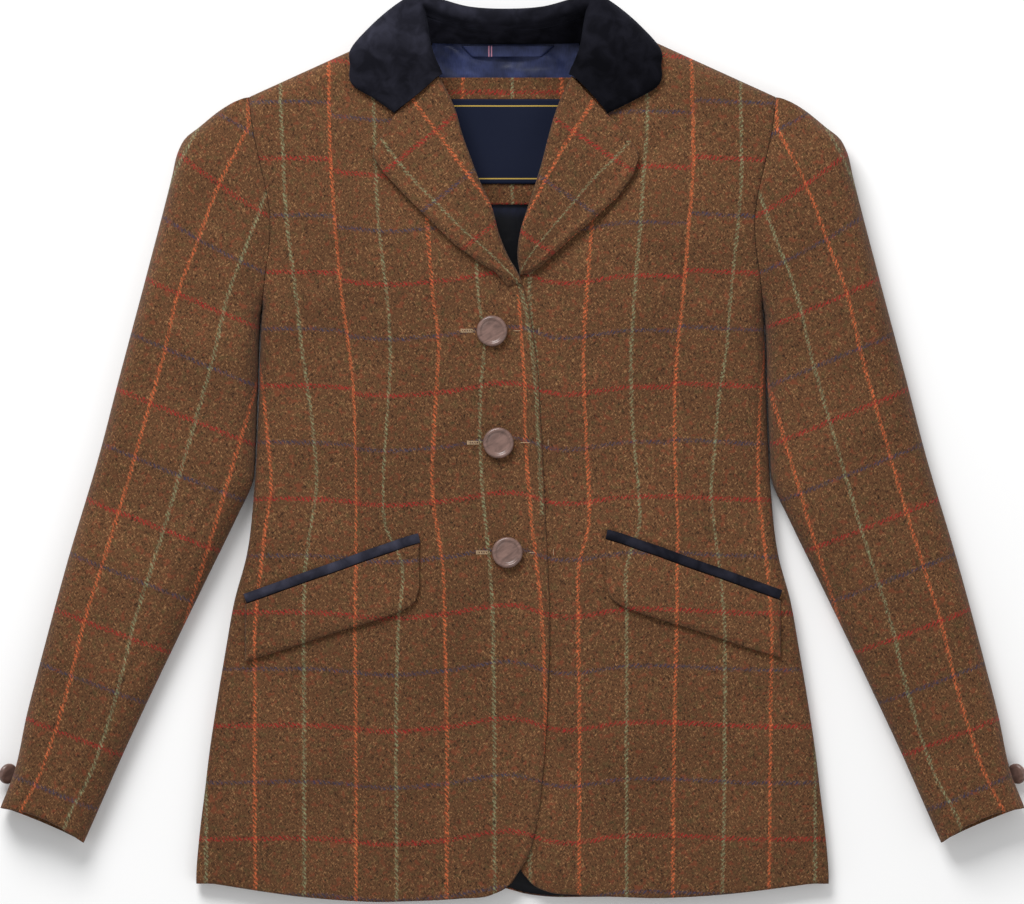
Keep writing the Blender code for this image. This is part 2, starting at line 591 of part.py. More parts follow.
def flap_points(which):
    """A pocket flap: rows from its lower edge up to the welt, columns from its inner end."""
    half, welt_y, low_y, slope = pocket(which)
    top_y = welt_y - (WELT_WIDTH / 2 + GAP) * np.hypot(1, slope)
    y = low_y + (top_y - low_y) * np.array([0, 0.25, 0.5, 0.75, 1])[:, None]
    half = half + 0 * y
    z = front_z(which, half, y) + POCKET_REST + TWEED
    return np.stack([which * half, y, z], axis=-1)


def welt_points(which):
    """A pocket's welt: a strip along the flap's top, crowned across."""
    across = np.array([-1, -0.6, 0, 0.6, 1])[:, None]
    half, middle, _, slope = pocket(which)
    long = np.hypot(1, slope)
    half_width = (WELT_WIDTH / 2 - GAP / 2) * across
    x, y = half - half_width * slope / long, middle + half_width / long
    z = front_z(which, x, y) + POCKET_REST + WELT_WALL + WELT_RISE * (1 - across**2)
    return np.stack([which * x, y, z], axis=-1)


def lining_points():
    """The back's lining, which lies on the back inside its rolled sides."""
    share = np.array([-1, -0.7, -0.40, -0.355, -0.31, -0.23, -0.03, 0.18, 0.25, 0.29, 0.33, 0.67, 1])
    share, v = share[None, :], np.linspace(0, 1, 6)[:, None]
    side_y = HEM_SIDE_Y + (TIP_Y - HEM_SIDE_Y) * v
    x = share * (side(side_y) - LINING_MARGIN)
    hem = smooth(x, BACK_HEM["x"], BACK_HEM["y"]) + 0.0010
    near_neck = 1 - ease((np.abs(x - NECK_AXIS_X) - 0.0445) / 0.008)
    margin = LINING_NECK + (LINING_MARGIN - LINING_NECK) * (1 - near_neck)
    top = np.interp(x, BACK_TOP["x"], BACK_TOP["y"]) - margin
    z = np.full_like(x + 0 * v, TWEED + GAP + LINING)
    return np.stack([x, hem + (top - hem) * v, z], axis=-1)


def flat_points(top_x, low_x, top_y, low_y, z, columns, rows):
    """A flat sheet between an upper and a lower edge."""
    u, v = np.linspace(0, 1, columns)[None, :], np.linspace(0, 1, rows)[:, None]
    low, high = low_x[0] + (low_x[1] - low_x[0]) * u, top_x[0] + (top_x[1] - top_x[0]) * u
    x = low + (high - low) * v
    y = low_y + (top_y - low_y) * v + 0 * u
    return np.stack([x, y, z + 0 * x], axis=-1)


# ---- objects ----


def make_material(name):
    red, green, blue, roughness = COLOURS[name]
    material = bpy.data.materials.new(name)
    material.use_nodes = True
    shader = material.node_tree.nodes["Principled BSDF"]
    shader.inputs["Base Color"].default_value = (red, green, blue, 1)
    shader.inputs["Roughness"].default_value = roughness
    return material


def place(obj, group, frame, material):
    group.objects.link(obj)
    obj.parent = frame
    obj.data.materials.append(material)
    obj.data.shade_smooth()
    return obj


def add_panel(name, points, wall, material, group, frame, flip=False):
    """A sheet on a grid of points, with its wall on the side away from its outer face."""
    if flip:
        points = points[:, ::-1]
    rows, columns = points.shape[:2]
    shape = bmesh.new()
    bmesh.ops.create_grid(shape, x_segments=columns - 1, y_segments=rows - 1, size=0.5)
    for vertex in shape.verts:
        column = round((vertex.co.x + 0.5) * (columns - 1))
        row = round((vertex.co.y + 0.5) * (rows - 1))
        vertex.co = points[row, column]
    mesh = bpy.data.meshes.new(name)
    shape.to_mesh(mesh)
    shape.free()
    obj = place(bpy.data.objects.new(name, mesh), group, frame, material)
    cloth = obj.modifiers.new("Wall", "SOLIDIFY")
    cloth.thickness = wall
    cloth.offset = -1
    cloth.use_even_offset = True
    return obj


def add_button(name, radius, depth, centre, turned, material, group, frame):
    """A turned button: its back, a rounded rim and a dished face."""
    profile = [
        (0, 0.72), (0.66, 0.70), (0.76, 0.94), (0.84, 1.0), (0.93, 0.94), (1.0, 0.70), (1.0, 0.38),
        (0.86, 0.0), (0, 0.0),
    ]
    mesh = bpy.data.meshes.new(name)
    corners = [(radius * across, 0, depth * up) for across, up in profile]
    mesh.from_pydata(corners, [(i, i + 1) for i in range(len(corners) - 1)], [])
    obj = place(bpy.data.objects.new(name, mesh), group, frame, material)
    obj.location = centre
    obj.rotation_euler = turned
    spin = obj.modifiers.new("Turn", "SCREW")
    spin.steps = spin.render_steps = 16
    spin.use_merge_vertices = True
    spin.merge_threshold = 0.00001
    spin.use_normal_calculate = True
    return obj


def main():
    for obj in list(bpy.data.objects):
        bpy.data.objects.remove(obj)
    group = bpy.data.collections.new("equestrian_show_jacket")
    bpy.context.scene.collection.children.link(group)
    frame = bpy.data.objects.new("jacket", None)
    frame.location = (0, -CENTRE_Y, 0)
    group.objects.link(frame)
    tweed, velvet, satin, label, horn = (
        make_material(name) for name in ("tweed", "velvet", "satin", "label", "horn")
    )

    def panel(name, points, wall, material, flip=False):
        return add_panel(name, points, wall, material, group, frame, flip)

    panel("back", back_points(), TWEED, tweed, flip=True)
    panel("lining_back", lining_points(), LINING, satin)
    for which, word in ((RIGHT, "right"), (LEFT, "left")):
        turned = which == RIGHT
        points = front_points(which)
        if which == LEFT:  # listed by columns, from its side to its centre edge
            points = points[:, ::-1].transpose(1, 0, 2)
        panel(f"front_{word}", points, TWEED, tweed, turned)
        panel(f"lapel_{word}", lapel_points(which), LAPEL, tweed, turned)
        panel(f"top_sleeve_{word}", sleeve_points(which, True), TWEED, tweed, turned)
        panel(f"under_sleeve_{word}", sleeve_points(which, False), TWEED, tweed, not turned)
        panel(f"pocket_flap_{word}", flap_points(which), TWEED, tweed, turned)
        panel(f"pocket_welt_{word}", welt_points(which), WELT_WALL, velvet, turned)
        add_button(
            f"cuff_button_{word}", CUFF_BUTTON_RADIUS, CUFF_BUTTON_DEPTH,
            (which * CUFF_BUTTON_AT[0], *CUFF_BUTTON_AT[1:]),
            (0, which * (np.pi - CUFF_BUTTON_TILT), which * CUFF_BUTTON_TURN), horn, group, frame,
        )

    stand, fall = collar_sections()
    panel("collar_stand", stand, VELVET, velvet)
    panel("collar_fall", fall, VELVET, velvet)

    lining_top = TWEED + GAP + LINING
    facing_top = lining_top + GAP + TWEED
    facing_x = [(NECK_AXIS_X - half, NECK_AXIS_X + half) for half in FACING_HALF]
    panel("back_neck_facing", flat_points(*facing_x, *FACING_Y, facing_top, 5, 3), TWEED, tweed)
    label_x = [LABEL_CENTRE[0] - LABEL_SIZE[0] / 2, LABEL_CENTRE[0] + LABEL_SIZE[0] / 2]
    label_y = [LABEL_CENTRE[1] + LABEL_SIZE[1] / 2, LABEL_CENTRE[1] - LABEL_SIZE[1] / 2]
    label_top = facing_top + GAP + LABEL
    panel("neck_label", flat_points(label_x, label_x, *label_y, label_top, 3, 3), LABEL, label)
    loop = flat_points(LOOP_TOP_X, LOOP_LOW_X, *LOOP_Y, lining_top + GAP + LINING, 13, 3)
    loop[..., 2] += LOOP_RISE * np.sin(np.linspace(0, np.pi, 13)) ** 0.5
    panel("hanger_loop", loop, LINING, satin)

    for name, (x, y) in FRONT_BUTTONS.items():
        low, high = front_z(RIGHT, -x, y + FRONT_BUTTON_RADIUS * np.array([-1, 1]))
        place_at = (x, y, float(low + high) / 2 + REST)
        lean = (float(np.arctan2(high - low, 2 * FRONT_BUTTON_RADIUS)), 0, 0)
        add_button(
            name, FRONT_BUTTON_RADIUS, FRONT_BUTTON_DEPTH, place_at, lean, horn, group, frame
        )


main()
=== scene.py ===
"""Looks of a child's equestrian show jacket in windowpane tweed, laid flat on its back.

Metres. +X runs to the wearer's left, +Y from the hem to the collar, +Z up from the surface.
Each cloth piece is a thin shell on the form of the solid that it replaces, worked out on a fine
grid from the same tables, with creases added. A half width is measured outwards from the middle.
"""

import bmesh
import bpy
import numpy as np
from mathutils import Euler, Matrix, Vector


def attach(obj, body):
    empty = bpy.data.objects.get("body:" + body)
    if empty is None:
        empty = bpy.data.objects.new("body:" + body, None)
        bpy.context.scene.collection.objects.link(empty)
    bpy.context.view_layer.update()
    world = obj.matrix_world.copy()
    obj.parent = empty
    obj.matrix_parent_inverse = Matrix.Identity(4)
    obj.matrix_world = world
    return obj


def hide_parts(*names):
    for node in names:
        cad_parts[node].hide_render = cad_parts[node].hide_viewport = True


bl_info = {
    "name": "Equestrian show jacket",
    "version": (1, 0, 0),
    "blender": (4, 5, 0),
    "location": "3D View > Sidebar > Jacket",
    "description": "Cloth, velvet, buttons and sewing of a windowpane tweed show jacket",
    "category": "Add Mesh",
}

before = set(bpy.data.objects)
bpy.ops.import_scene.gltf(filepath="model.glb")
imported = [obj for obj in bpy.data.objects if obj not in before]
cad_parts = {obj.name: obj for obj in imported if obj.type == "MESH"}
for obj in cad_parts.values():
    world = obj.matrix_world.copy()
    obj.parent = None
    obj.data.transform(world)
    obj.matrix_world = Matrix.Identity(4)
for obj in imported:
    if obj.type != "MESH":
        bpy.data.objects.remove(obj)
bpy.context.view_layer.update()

RIGHT, LEFT = -1, 1  # the wearer's sides, as the sign of X
SIDES = ((RIGHT, "right"), (LEFT, "left"))
CENTRE_Y = 0.0019  # the tables' Y is this much more than the frame's
PIXEL = 0.00065  # real size of one pixel of the photograph
PHOTO_WIDTH = 1024  # in pixels

# ---- sizes of the solids, which the shells repeat ----

TWEED = 0.0020
LAPEL = 0.0026
VELVET = 0.0024
LINING = 0.0010
LABEL = 0.0009
GAP = 0.0003
REST = 0.0005
RIM = 0.0015
HEM_SIDE_Y = -0.2800
HEM_CORNER_Y = -0.2737
UNDERARM_Y = 0.0923
TIP_Y = 0.2298
BODY_ROLL = 0.0105
BACK_ROLL = 0.0120
SHOULDER_ROLL = 0.0120
SHOULDER_SEAM_Z = 0.0120
SHOULDER_GAP = 0.0005
SHOULDER_SLOPE = 0.4545
ARMHOLE_REACH = 0.0250
ARMHOLE_VALLEY = 0.0006
SIDE_CLEAR = 0.0006
DOME = 0.045
OVERLAP_FLAT = 0.0030
OVERLAP_RAMP = 0.0200
OVERLAP_TOP_Y = 0.1140
NECK_TUCK = 0.0034
TUCK_RISE = 0.0090
SLEEVE_ROLL = 0.0120
SLEEVE_AXIS = (0.257, -0.966)
CUFF_BOW = 0.0050
LAPEL_FOLD = 0.0040
LAPEL_PUFF = 0.0035
COLLAR_FOLD = 0.0038
STAND_SHARE = 0.74
STAND_GAP = (0.0006, 0.0020)
CORNER_STATION = 6
POCKET_REST = 0.0008
WELT_WIDTH = 0.0066
WELT_WALL = 0.0014
WELT_RISE = 0.0012
FACING_HALF = (0.0600, 0.0480)
FACING_Y = (0.2430, 0.1605)
LABEL_SIZE = (0.0710, 0.0550)
LABEL_CENTRE = (-0.0040, 0.2015)
LOOP_TOP_X, LOOP_LOW_X = (-0.0332, 0.0274), (-0.0263, 0.0189)
LOOP_Y = (0.2635, 0.2564)
LOOP_RISE = 0.0030
LOOP_STRIPES_X = (-0.0153, -0.0136)
LABEL_BORDER_HALF, LABEL_BORDER_DROP = (0.0343, 0.0236), 0.0006  # its woven line, a little low
BANDS_A_UNIT = 3.18  # of Blender's wave texture at a scale of 1
LINING_MARGIN = 0.0190
LINING_NECK = 0.0016
LINING_HEM = 0.0010
NECK_AXIS_X = -0.0044
COLLAR_POINT_SHIFT = -0.0030
POCKET_SHIFT = {RIGHT: (0, 0), LEFT: (0.0005, 0.0025)}
FRONT_BUTTON_RADIUS, FRONT_BUTTON_DEPTH = 0.0100, 0.0042
CUFF_BUTTON_RADIUS, CUFF_BUTTON_DEPTH = 0.0068, 0.0032
FRONT_BUTTONS = {
    "front_button_top": (-0.0132, 0.0783),
    "front_button_middle": (-0.0091, 0.0060),
    "front_button_bottom": (-0.0033, -0.0650),
}
HOLE_OUT = (0.0118, 0.0200)  # a buttonhole's ends, outwards from its button's middle
HOLE_GAP, HOLE_BAR = 0.0009, 0.0016  # half the height of its lips and of its bar tack
BAR_STEP = 0.0006  # between the bar tack's two stitches
PURLS_FROM, PURL_LEAN = 0.0014, 0.0002  # where the cross stitches start, and their slant
TACK_FROM, TACK_SHORT = 0.0128, 0.0016  # a stitch runs from the button almost to the edge
TACK_BEYOND, TACK_HALF = 0.0040, 0.0024  # an upright one beyond the edge, and half its height
HOLE_THREAD, TACK_THREAD = 0.00028, 0.00022  # radii
CUFF_BUTTON_AT = (0.3262, -0.2092, 0.0074)
CUFF_BUTTON_TILT = 0.75
CUFF_BUTTON_TURN = 0.37

# Rows of a front: its side, and the centre edge where the same row meets it
SIDE_ROWS = (
    HEM_SIDE_Y, -0.262, -0.236, -0.200, -0.162, -0.124, -0.088, -0.054, -0.020, 0.014, 0.044,
    0.072, UNDERARM_Y, 0.0945, 0.0990, 0.1070, 0.1190, 0.1350, 0.1520, 0.1690, 0.1860, 0.2020,
    0.2150, 0.2240, TIP_Y,
)
UNDERARM_ROW = SIDE_ROWS.index(UNDERARM_Y)
CENTRE_ROWS = (
    HEM_CORNER_Y, -0.2600, -0.2380, -0.2050, -0.1680, -0.1300, -0.0940, -0.0600, -0.0260, 0.0080,
    0.0380, 0.0640, 0.0830, 0.0935, 0.1022, 0.1095, 0.1150, 0.1205, 0.1290, 0.1420, 0.1600,
    0.1800, 0.2035, 0.2400,
)


def table(columns, rows):
    """An array for each named column, from one row for each section."""
    return dict(zip(columns.split(), np.transpose(rows)))


SIDE = table("y half", [
    (-0.2950, 0.2050), (-0.2737, 0.2052), (-0.2500, 0.2033), (-0.2210, 0.1998),
    (-0.1950, 0.1967), (-0.1630, 0.1919), (-0.1274, 0.1859), (-0.0962, 0.1803),
    (-0.0676, 0.1726), (-0.0234, 0.1675), (0.0286, 0.1648), (0.0923, 0.1622),
    (0.1131, 0.1599), (0.1372, 0.1568), (0.1540, 0.1567), (0.1664, 0.1585),
    (0.1879, 0.1634), (0.2087, 0.1677), (0.2300, 0.1706),
])
CENTRE_EDGE = {
    RIGHT: table("y half", [
        (-0.2737, -0.0029), (-0.2633, -0.0094), (-0.2464, -0.0146), (-0.2080, -0.0198),
        (-0.1697, -0.0225), (-0.1060, -0.0241), (-0.0741, -0.0229), (-0.0182, -0.0203),
        (0.0208, -0.0183), (0.0540, -0.0162), (0.0826, -0.0124), (0.0949, -0.0102),
        (0.1022, -0.0082),
    ]),
    LEFT: table("y half", [
        (-0.2737, 0.0071), (-0.2633, 0.0006), (-0.2464, -0.0046), (-0.2080, -0.0098),
        (-0.1697, -0.0125), (-0.1060, -0.0141), (-0.0741, -0.0129), (-0.0182, -0.0103),
        (0.0208, -0.0083), (0.0540, -0.0062), (0.0826, -0.0026), (0.0975, 0.0003),
        (0.1080, 0.0035),
    ]),
}
NECK = {
    RIGHT: table("y half", [(0.2585, 0.0560), (0.2792, 0.0620)]),
    LEFT: table("y half", [(0.2585, 0.0470), (0.2830, 0.0535)]),
}
HEM_BOW = table("share drop", [
    (0.00, 0.0000), (0.03, 0.0068), (0.08, 0.0116), (0.19, 0.0135), (0.35, 0.0141),
    (0.45, 0.0141), (0.55, 0.0128), (0.70, 0.0097), (0.87, 0.0045), (1.00, 0.0000),
])
HEM_BOW_SCALE = {RIGHT: 1.08, LEFT: 0.90}
BACK_HEM = table("x y", [
    (-0.2050, -0.2800), (-0.1500, -0.2830), (-0.0900, -0.2845), (-0.0300, -0.2828),
    (-0.0042, -0.2835), (0.0080, -0.2868), (0.0200, -0.2885), (0.0500, -0.2890),
    (0.0900, -0.2882), (0.1360, -0.2856), (0.1800, -0.2815), (0.2050, -0.2800),
])
BACK_TOP = table("x y", [
    (-0.1706, 0.2298), (-0.0620, 0.2792), (-0.0500, 0.2716), (-0.0350, 0.2682),
    (-0.0200, 0.2670), (-0.0044, 0.2667), (0.0110, 0.2670), (0.0260, 0.2682),
    (0.0420, 0.2722), (0.0535, 0.2830), (0.1706, 0.2298),
])
BODY_HEIGHT = table("y crown seam", [
    (-0.2950, 0.0140, 0.0066), (-0.2000, 0.0155, 0.0072), (-0.1100, 0.0190, 0.0084),
    (-0.0300, 0.0182, 0.0084), (0.0400, 0.0212, 0.0096), (0.1100, 0.0260, 0.0114),
    (0.1800, 0.0276, 0.0120), (0.2350, 0.0262, 0.0120), (0.2850, 0.0250, 0.0120),
])
SLEEVE_OUTER = table("half y", [
    (0.1810, 0.2262), (0.1850, 0.2240), (0.1903, 0.2205), (0.2033, 0.2100), (0.2124, 0.2025),
    (0.2168, 0.1940), (0.2204, 0.1792), (0.2386, 0.1092), (0.2556, 0.0455), (0.2674, 0.0000),
    (0.2882, -0.0700), (0.3070, -0.1400), (0.3146, -0.1697), (0.3230, -0.2080), (0.3317, -0.2304),
])
SLEEVE_INNER = table("half y", [
    (0.1627, 0.0923), (0.1653, 0.0350), (0.1684, -0.0200), (0.1787, -0.0423),
    (0.2015, -0.0890), (0.2323, -0.1528), (0.2502, -0.1911), (0.2729, -0.2425),
    (0.2776, -0.2531),
])
SLEEVE_HEIGHT = table("along crown seam inner_reach", [
    (0.00, 0.0210, 0.0120, 0.0220), (0.06, 0.0290, 0.0112, 0.0220),
    (0.15, 0.0305, 0.0096, 0.0200), (0.27, 0.0300, 0.0084, 0.0160),
    (0.50, 0.0255, 0.0080, 0.0170), (0.75, 0.0245, 0.0086, 0.0220),
    (1.00, 0.0275, 0.0120, 0.0240),
])
LAPEL_ROWS = {
    RIGHT: table("roll_half roll_y edge_half edge_y", [
        (-0.0060, 0.1095, 0.0030, 0.1068), (-0.0026, 0.1176, 0.0105, 0.1155),
        (0.0007, 0.1228, 0.0205, 0.1215), (0.0081, 0.1394, 0.0370, 0.1335),
        (0.0135, 0.1586, 0.0510, 0.1470), (0.0219, 0.1768, 0.0700, 0.1660),
        (0.0280, 0.1930, 0.0840, 0.1810), (0.0318, 0.2035, 0.0910, 0.1924),
        (0.0380, 0.2240, 0.0830, 0.2065), (0.0474, 0.2425, 0.0744, 0.2199),
    ]),
    LEFT: table("roll_half roll_y edge_half edge_y", [
        (0.0046, 0.1145, 0.0110, 0.1150), (0.0043, 0.1180, 0.0175, 0.1190),
        (0.0034, 0.1235, 0.0245, 0.1255), (0.0049, 0.1417, 0.0400, 0.1395),
        (0.0091, 0.1557, 0.0545, 0.1520), (0.0146, 0.1726, 0.0680, 0.1645),
        (0.0195, 0.1890, 0.0780, 0.1790), (0.0231, 0.2035, 0.0824, 0.1924),
        (0.0290, 0.2230, 0.0715, 0.2065), (0.0380, 0.2425, 0.0598, 0.2195),
    ]),
}
LAPEL_INSIDE = table("above_break depth", [
    (0, -REST), (TUCK_RISE, -REST), (0.0140, 0.0020), (0.1340, 0.0050),
])
COLLAR_ROWS = table(
    "fold_half fold_y fold_z foot_half foot_y foot_z brow_half brow_y brow_z edge_half edge_y edge_z",
    [
        (.0430, .2432, .0325, .0430, .2432, .0225, .0550, .2315, .0306, .0676, .2202, .0291),
        (.0443, .2466, .0330, .0443, .2466, .0205, .0640, .2390, .0310, .0840, .2298, .0292),
        (.0466, .2515, .0340, .0466, .2515, .0180, .0730, .2468, .0318, .0976, .2384, .0290),
        (.0492, .2585, .0350, .0492, .2585, .0150, .0780, .2560, .0330, .0984, .2495, .0288),
        (.0511, .2656, .0355, .0510, .2634, .0115, .0840, .2668, .0335, .0975, .2600, .0262),
        (.0530, .2780, .0360, .0512, .2660, .0085, .0780, .2825, .0340, .0825, .2770, .0120),
        (.0535, .2880, .0360, .0480, .2668, .0064, .0600, .2945, .0340, .0640, .2885, .0030),
        (.0420, .2842, .0345, .0370, .2669, .0046, .0450, .2925, .0310, .0460, .2880, .0016),
        (.0240, .2785, .0325, .0200, .2670, .0038, .0240, .2874, .0280, .0240, .2830, .0012),
        (.0000, .2772, .0315, .0000, .2671, .0034, .0000, .2860, .0270, .0000, .2815, .0012),
    ],
)
POCKET = table("half welt_y low_y", [
    (0.0602, -0.0556, -0.0870), (0.0620, -0.0560, -0.0945), (0.0650, -0.0568, -0.0985),
    (0.0700, -0.0583, -0.1018), (0.0790, -0.0615, -0.1056), (0.0930, -0.0662, -0.1102),
    (0.1120, -0.0732, -0.1160), (0.1340, -0.0808, -0.1232), (0.1540, -0.0880, -0.1298),
    (0.1730, -0.0948, -0.1354),
])

# ---- where the check's threads run, as half widths at heights of the laid jacket ----

WARP_STEP = 0.0320  # from an orange warp stripe to the green one beside it
WEFT_STEP = 0.03665  # from a navy weft stripe to the red one below it
TOP_WEFT_Y = 0.2256  # a navy stripe
FRONT_WARP = {  # the first of a front's lines is number FIRST_WARP; even numbers are orange
    RIGHT: table("y g f e d a b c", [
        (-.2847, -.0218, .0114, .0426, .0751, .1011, .1349, .1667),
        (-.1612, -.0211, .0120, .0426, .0751, .1014, .1349, .1667),
        (-.1092, -.0192, .0127, .0439, .0738, .1017, .1349, .1661),
        (-.0702, -.0153, .0150, .0455, .0718, .1014, .1336, .1622),
        (-.0475, -.0127, .0172, .0491, .0826, .1011, .1303, .1596),
        (-.0247, -.0107, .0192, .0518, .0839, .1011, .1268, .1563),
        (0.0143, -.0081, .0211, .0507, .0819, .1017, .1290, .1589),
        (0.0403, -.0079, .0205, .0491, .0800, .1027, .1323, .1615),
        (0.0728, -.0059, .0182, .0478, .0790, .1063, .1368, .1667),
        (0.0988, -.0042, .0218, .0510, .0809, .1099, .1394, .1706),
        (0.1508, -.0062, .0237, .0553, .0868, .1147, .1459, .1758),
        (0.2028, -.0036, .0270, .0575, .0890, .1180, .1485, .1797),
        (0.2548, -.0029, .0276, .0588, .0907, .1186, .1511, .1830),
    ]),
    LEFT: table("y h i j k l m", [
        (-.2847, .0114, .0432, .0738, .1037, .1362, .1661),
        (-.1612, .0114, .0432, .0738, .1050, .1375, .1671),
        (-.1092, .0114, .0426, .0738, .1063, .1368, .1674),
        (-.0702, .0127, .0436, .0744, .1066, .1333, .1641),
        (-.0475, .0192, .0491, .0822, .1069, .1303, .1615),
        (-.0247, .0185, .0494, .0816, .1060, .1284, .1589),
        (0.0013, .0179, .0481, .0790, .1050, .1307, .1589),
        (0.0403, .0166, .0462, .0770, .1050, .1342, .1609),
        (0.0598, .0153, .0458, .0767, .1060, .1375, .1628),
        (0.1053, .0110, .0481, .0790, .1105, .1414, .1661),
        (0.1508, .0185, .0517, .0829, .1141, .1459, .1726),
        (0.1768, .0211, .0533, .0845, .1164, .1479, .1758),
        (0.2028, .0224, .0543, .0865, .1167, .1476, .1778),
        (0.2548, .0237, .0549, .0868, .1154, .1472, .1790),
    ]),
}
FIRST_WARP = {RIGHT: 0, LEFT: 1}
EDGE_STRIPE, EDGE_STRIPE_Y = 0.0022, -0.0430  # how far in it runs, and where it leaves the edge
EDGE_STRIPE_HALF = 0.0024
YOKE_DROP = table("y drop", [  # inside the dart seam the weft lies this much lower
    (-.0400, 0), (0.0000, .0016), (0.0400, .0029), (0.0774, .0030), (0.1144, .0046),
    (0.1515, .0069), (0.1885, .0074), (0.2256, .0085), (0.2800, .0090),
])
SLEEVE_WARP = table("y half", [  # the sleeve's orange line
    (-.2530, .3255), (-.2314, .3172), (-.2145, .3080), (-.1827, .2961), (-.1463, .2854),
    (-.1105, .2769), (-.0735, .2652), (-.0390, .2545), (-.0039, .2441), (0.0319, .2337),
    (0.0644, .2246), (0.1027, .2155), (0.1372, .2025), (0.1684, .1910), (0.2093, .1706),
])
SLEEVE_WARP_STEP = 0.0325  # along X
SLEEVE_WEFT_Y, SLEEVE_WEFT_STEP = 0.1372, 0.0352
SLEEVE_WEFT_SLOPE = table("y slope", [(-.2600, .34), (0.0300, .37), (0.1027, .40), (0.1684, .55)])
LAPEL_WARP = {  # an orange and a green line
    RIGHT: table("y o g", [
        (0.1108, -.0218, -.0027), (0.1307, -.0072, .0172), (0.1426, .0018, .0311),
        (0.1586, .0136, .0471), (0.1764, .0268, .0649), (0.2028, .0463, .0855),
        (0.2252, .0629, .1024), (0.2418, .0753, .1147),
    ]),
    LEFT: table("y o g", [
        (0.1100, -.0095, .0010), (0.1287, -.0030, .0127), (0.1505, .0082, .0306),
        (0.1625, .0146, .0406), (0.1744, .0210, .0505), (0.1923, .0306, .0684),
        (0.2252, .0515, .0926), (0.2418, .0614, .1024),
    ]),
}
LAPEL_WEFT = {  # how much half width and height count along the warp, and a red stripe's place
    RIGHT: (0.62, 0.785, 0.1931, 0.0352), LEFT: (0.55, 0.835, 0.1940, 0.0363),
}
FACING_WARP_X, FACING_WEFT_Y = -0.0322, 0.2335

# ---- creases and waves of the cloth ----

CREASE = "half_0 y_0 half_1 y_1 width rise"  # a crease's two ends, then its width and rise
BODY_CREASES = {
    RIGHT: table(CREASE, [
        (.0938, .0520, .0958, -.0640, .0017, -.0013), (.1190, .2650, .1085, .0800, .0014, -.0009),
        (.1120, .1400, .1020, .0150, .0014, -.0009), (-.0100, .0900, .0640, .1500, .0060, -.0015),
        (.0380, .1270, .1150, .2090, .0065, -.0016), (.0700, .0000, .0500, -.2600, .0260, .0018),
        (.1500, .0700, .1450, -.0300, .0090, .0015), (.1380, .0900, .0950, .1150, .0080, .0014),
        (.1450, .1200, .1050, .1500, .0100, .0013), (.1700, -.1400, .1650, -.2800, .0180, .0020),
        (.1150, -.1600, .1050, -.2800, .0150, -.0016), (.0450, .0800, .0120, .0620, .0070, .0012),
        (.0520, .0450, .0150, .0250, .0060, -.0012), (.0550, -.0350, .0150, -.0150, .0065, .0010),
        (.0350, -.0900, .0050, -.0700, .0070, .0013), (.1300, -.0200, .1600, -.0500, .0080, -.0013),
        (.0300, -.1300, .0200, -.2700, .0140, .0015), (.0800, .2000, .1250, .2350, .0120, -.0013),
        (.1250, .0300, .1550, .0150, .0070, .0011), (.1330, -.1450, .1820, -.1800, .0100, -.0012),
    ]),
    LEFT: table(CREASE, [
        (.0938, .0520, .0958, -.0600, .0017, -.0013), (.1165, .2600, .1085, .0800, .0014, -.0009),
        (.1120, .1400, .1030, .0150, .0014, -.0009), (.0050, .1050, .0700, .1620, .0060, -.0015),
        (.0450, .1400, .1050, .2120, .0065, -.0016), (.0720, .0100, .0560, -.2500, .0240, .0018),
        (.1480, .0600, .1430, -.0400, .0100, .0015), (.1360, .0850, .0900, .1080, .0090, .0014),
        (.1420, .1250, .1000, .1450, .0090, .0013), (.1720, -.1500, .1680, -.2800, .0200, .0018),
        (.1180, -.1500, .1120, -.2800, .0140, -.0016), (.0600, .0650, .0300, .0450, .0080, -.0012),
        (.0520, .0000, .0250, -.0200, .0070, .0011), (.0400, -.0900, .0200, -.1200, .0090, .0013),
        (.1350, -.0100, .1620, -.0450, .0080, -.0013), (.0450, -.1500, .0360, -.2750, .0150, -.0014),
        (.0850, .1900, .1300, .2300, .0130, -.0013), (.1230, .0350, .1540, .0200, .0080, .0011),
        (.1300, -.1500, .1800, -.1750, .0110, -.0012),
    ]),
}
SLEEVE_TOP = {
    RIGHT: table(CREASE, [
        (.1800, .0600, .2350, .0850, .0080, .0012), (.1780, .0250, .2500, .0500, .0100, -.0012),
        (.1850, -.0100, .2620, .0150, .0090, .0014), (.2000, -.0450, .2650, -.0150, .0110, -.0013),
        (.2150, -.0850, .2850, -.0550, .0090, .0013), (.2250, -.1050, .2700, -.0950, .0060, -.0009),
        (.2500, -.1500, .2950, -.1250, .0120, .0010), (.2650, -.1950, .3120, -.1750, .0110, -.0009),
        (.1950, .1650, .2080, .1950, .0080, .0009), (.1850, .1150, .2200, .1450, .0110, -.0009),
    ]),
    LEFT: table(CREASE, [
        (.1780, .0700, .2300, .0980, .0090, .0011), (.1790, .0300, .2450, .0620, .0090, -.0011),
        (.1820, -.0050, .2600, .0230, .0100, .0013), (.2050, -.0500, .2700, -.0230, .0100, -.0013),
        (.2120, -.0800, .2780, -.0600, .0080, .0012), (.2300, -.1120, .2850, -.0980, .0070, -.0009),
        (.2480, -.1420, .2900, -.1200, .0110, .0010), (.2680, -.2000, .3150, -.1820, .0120, -.0008),
        (.1930, .1600, .2100, .1850, .0080, .0009), (.1820, .1200, .2150, .1400, .0100, -.0009),
    ]),
}
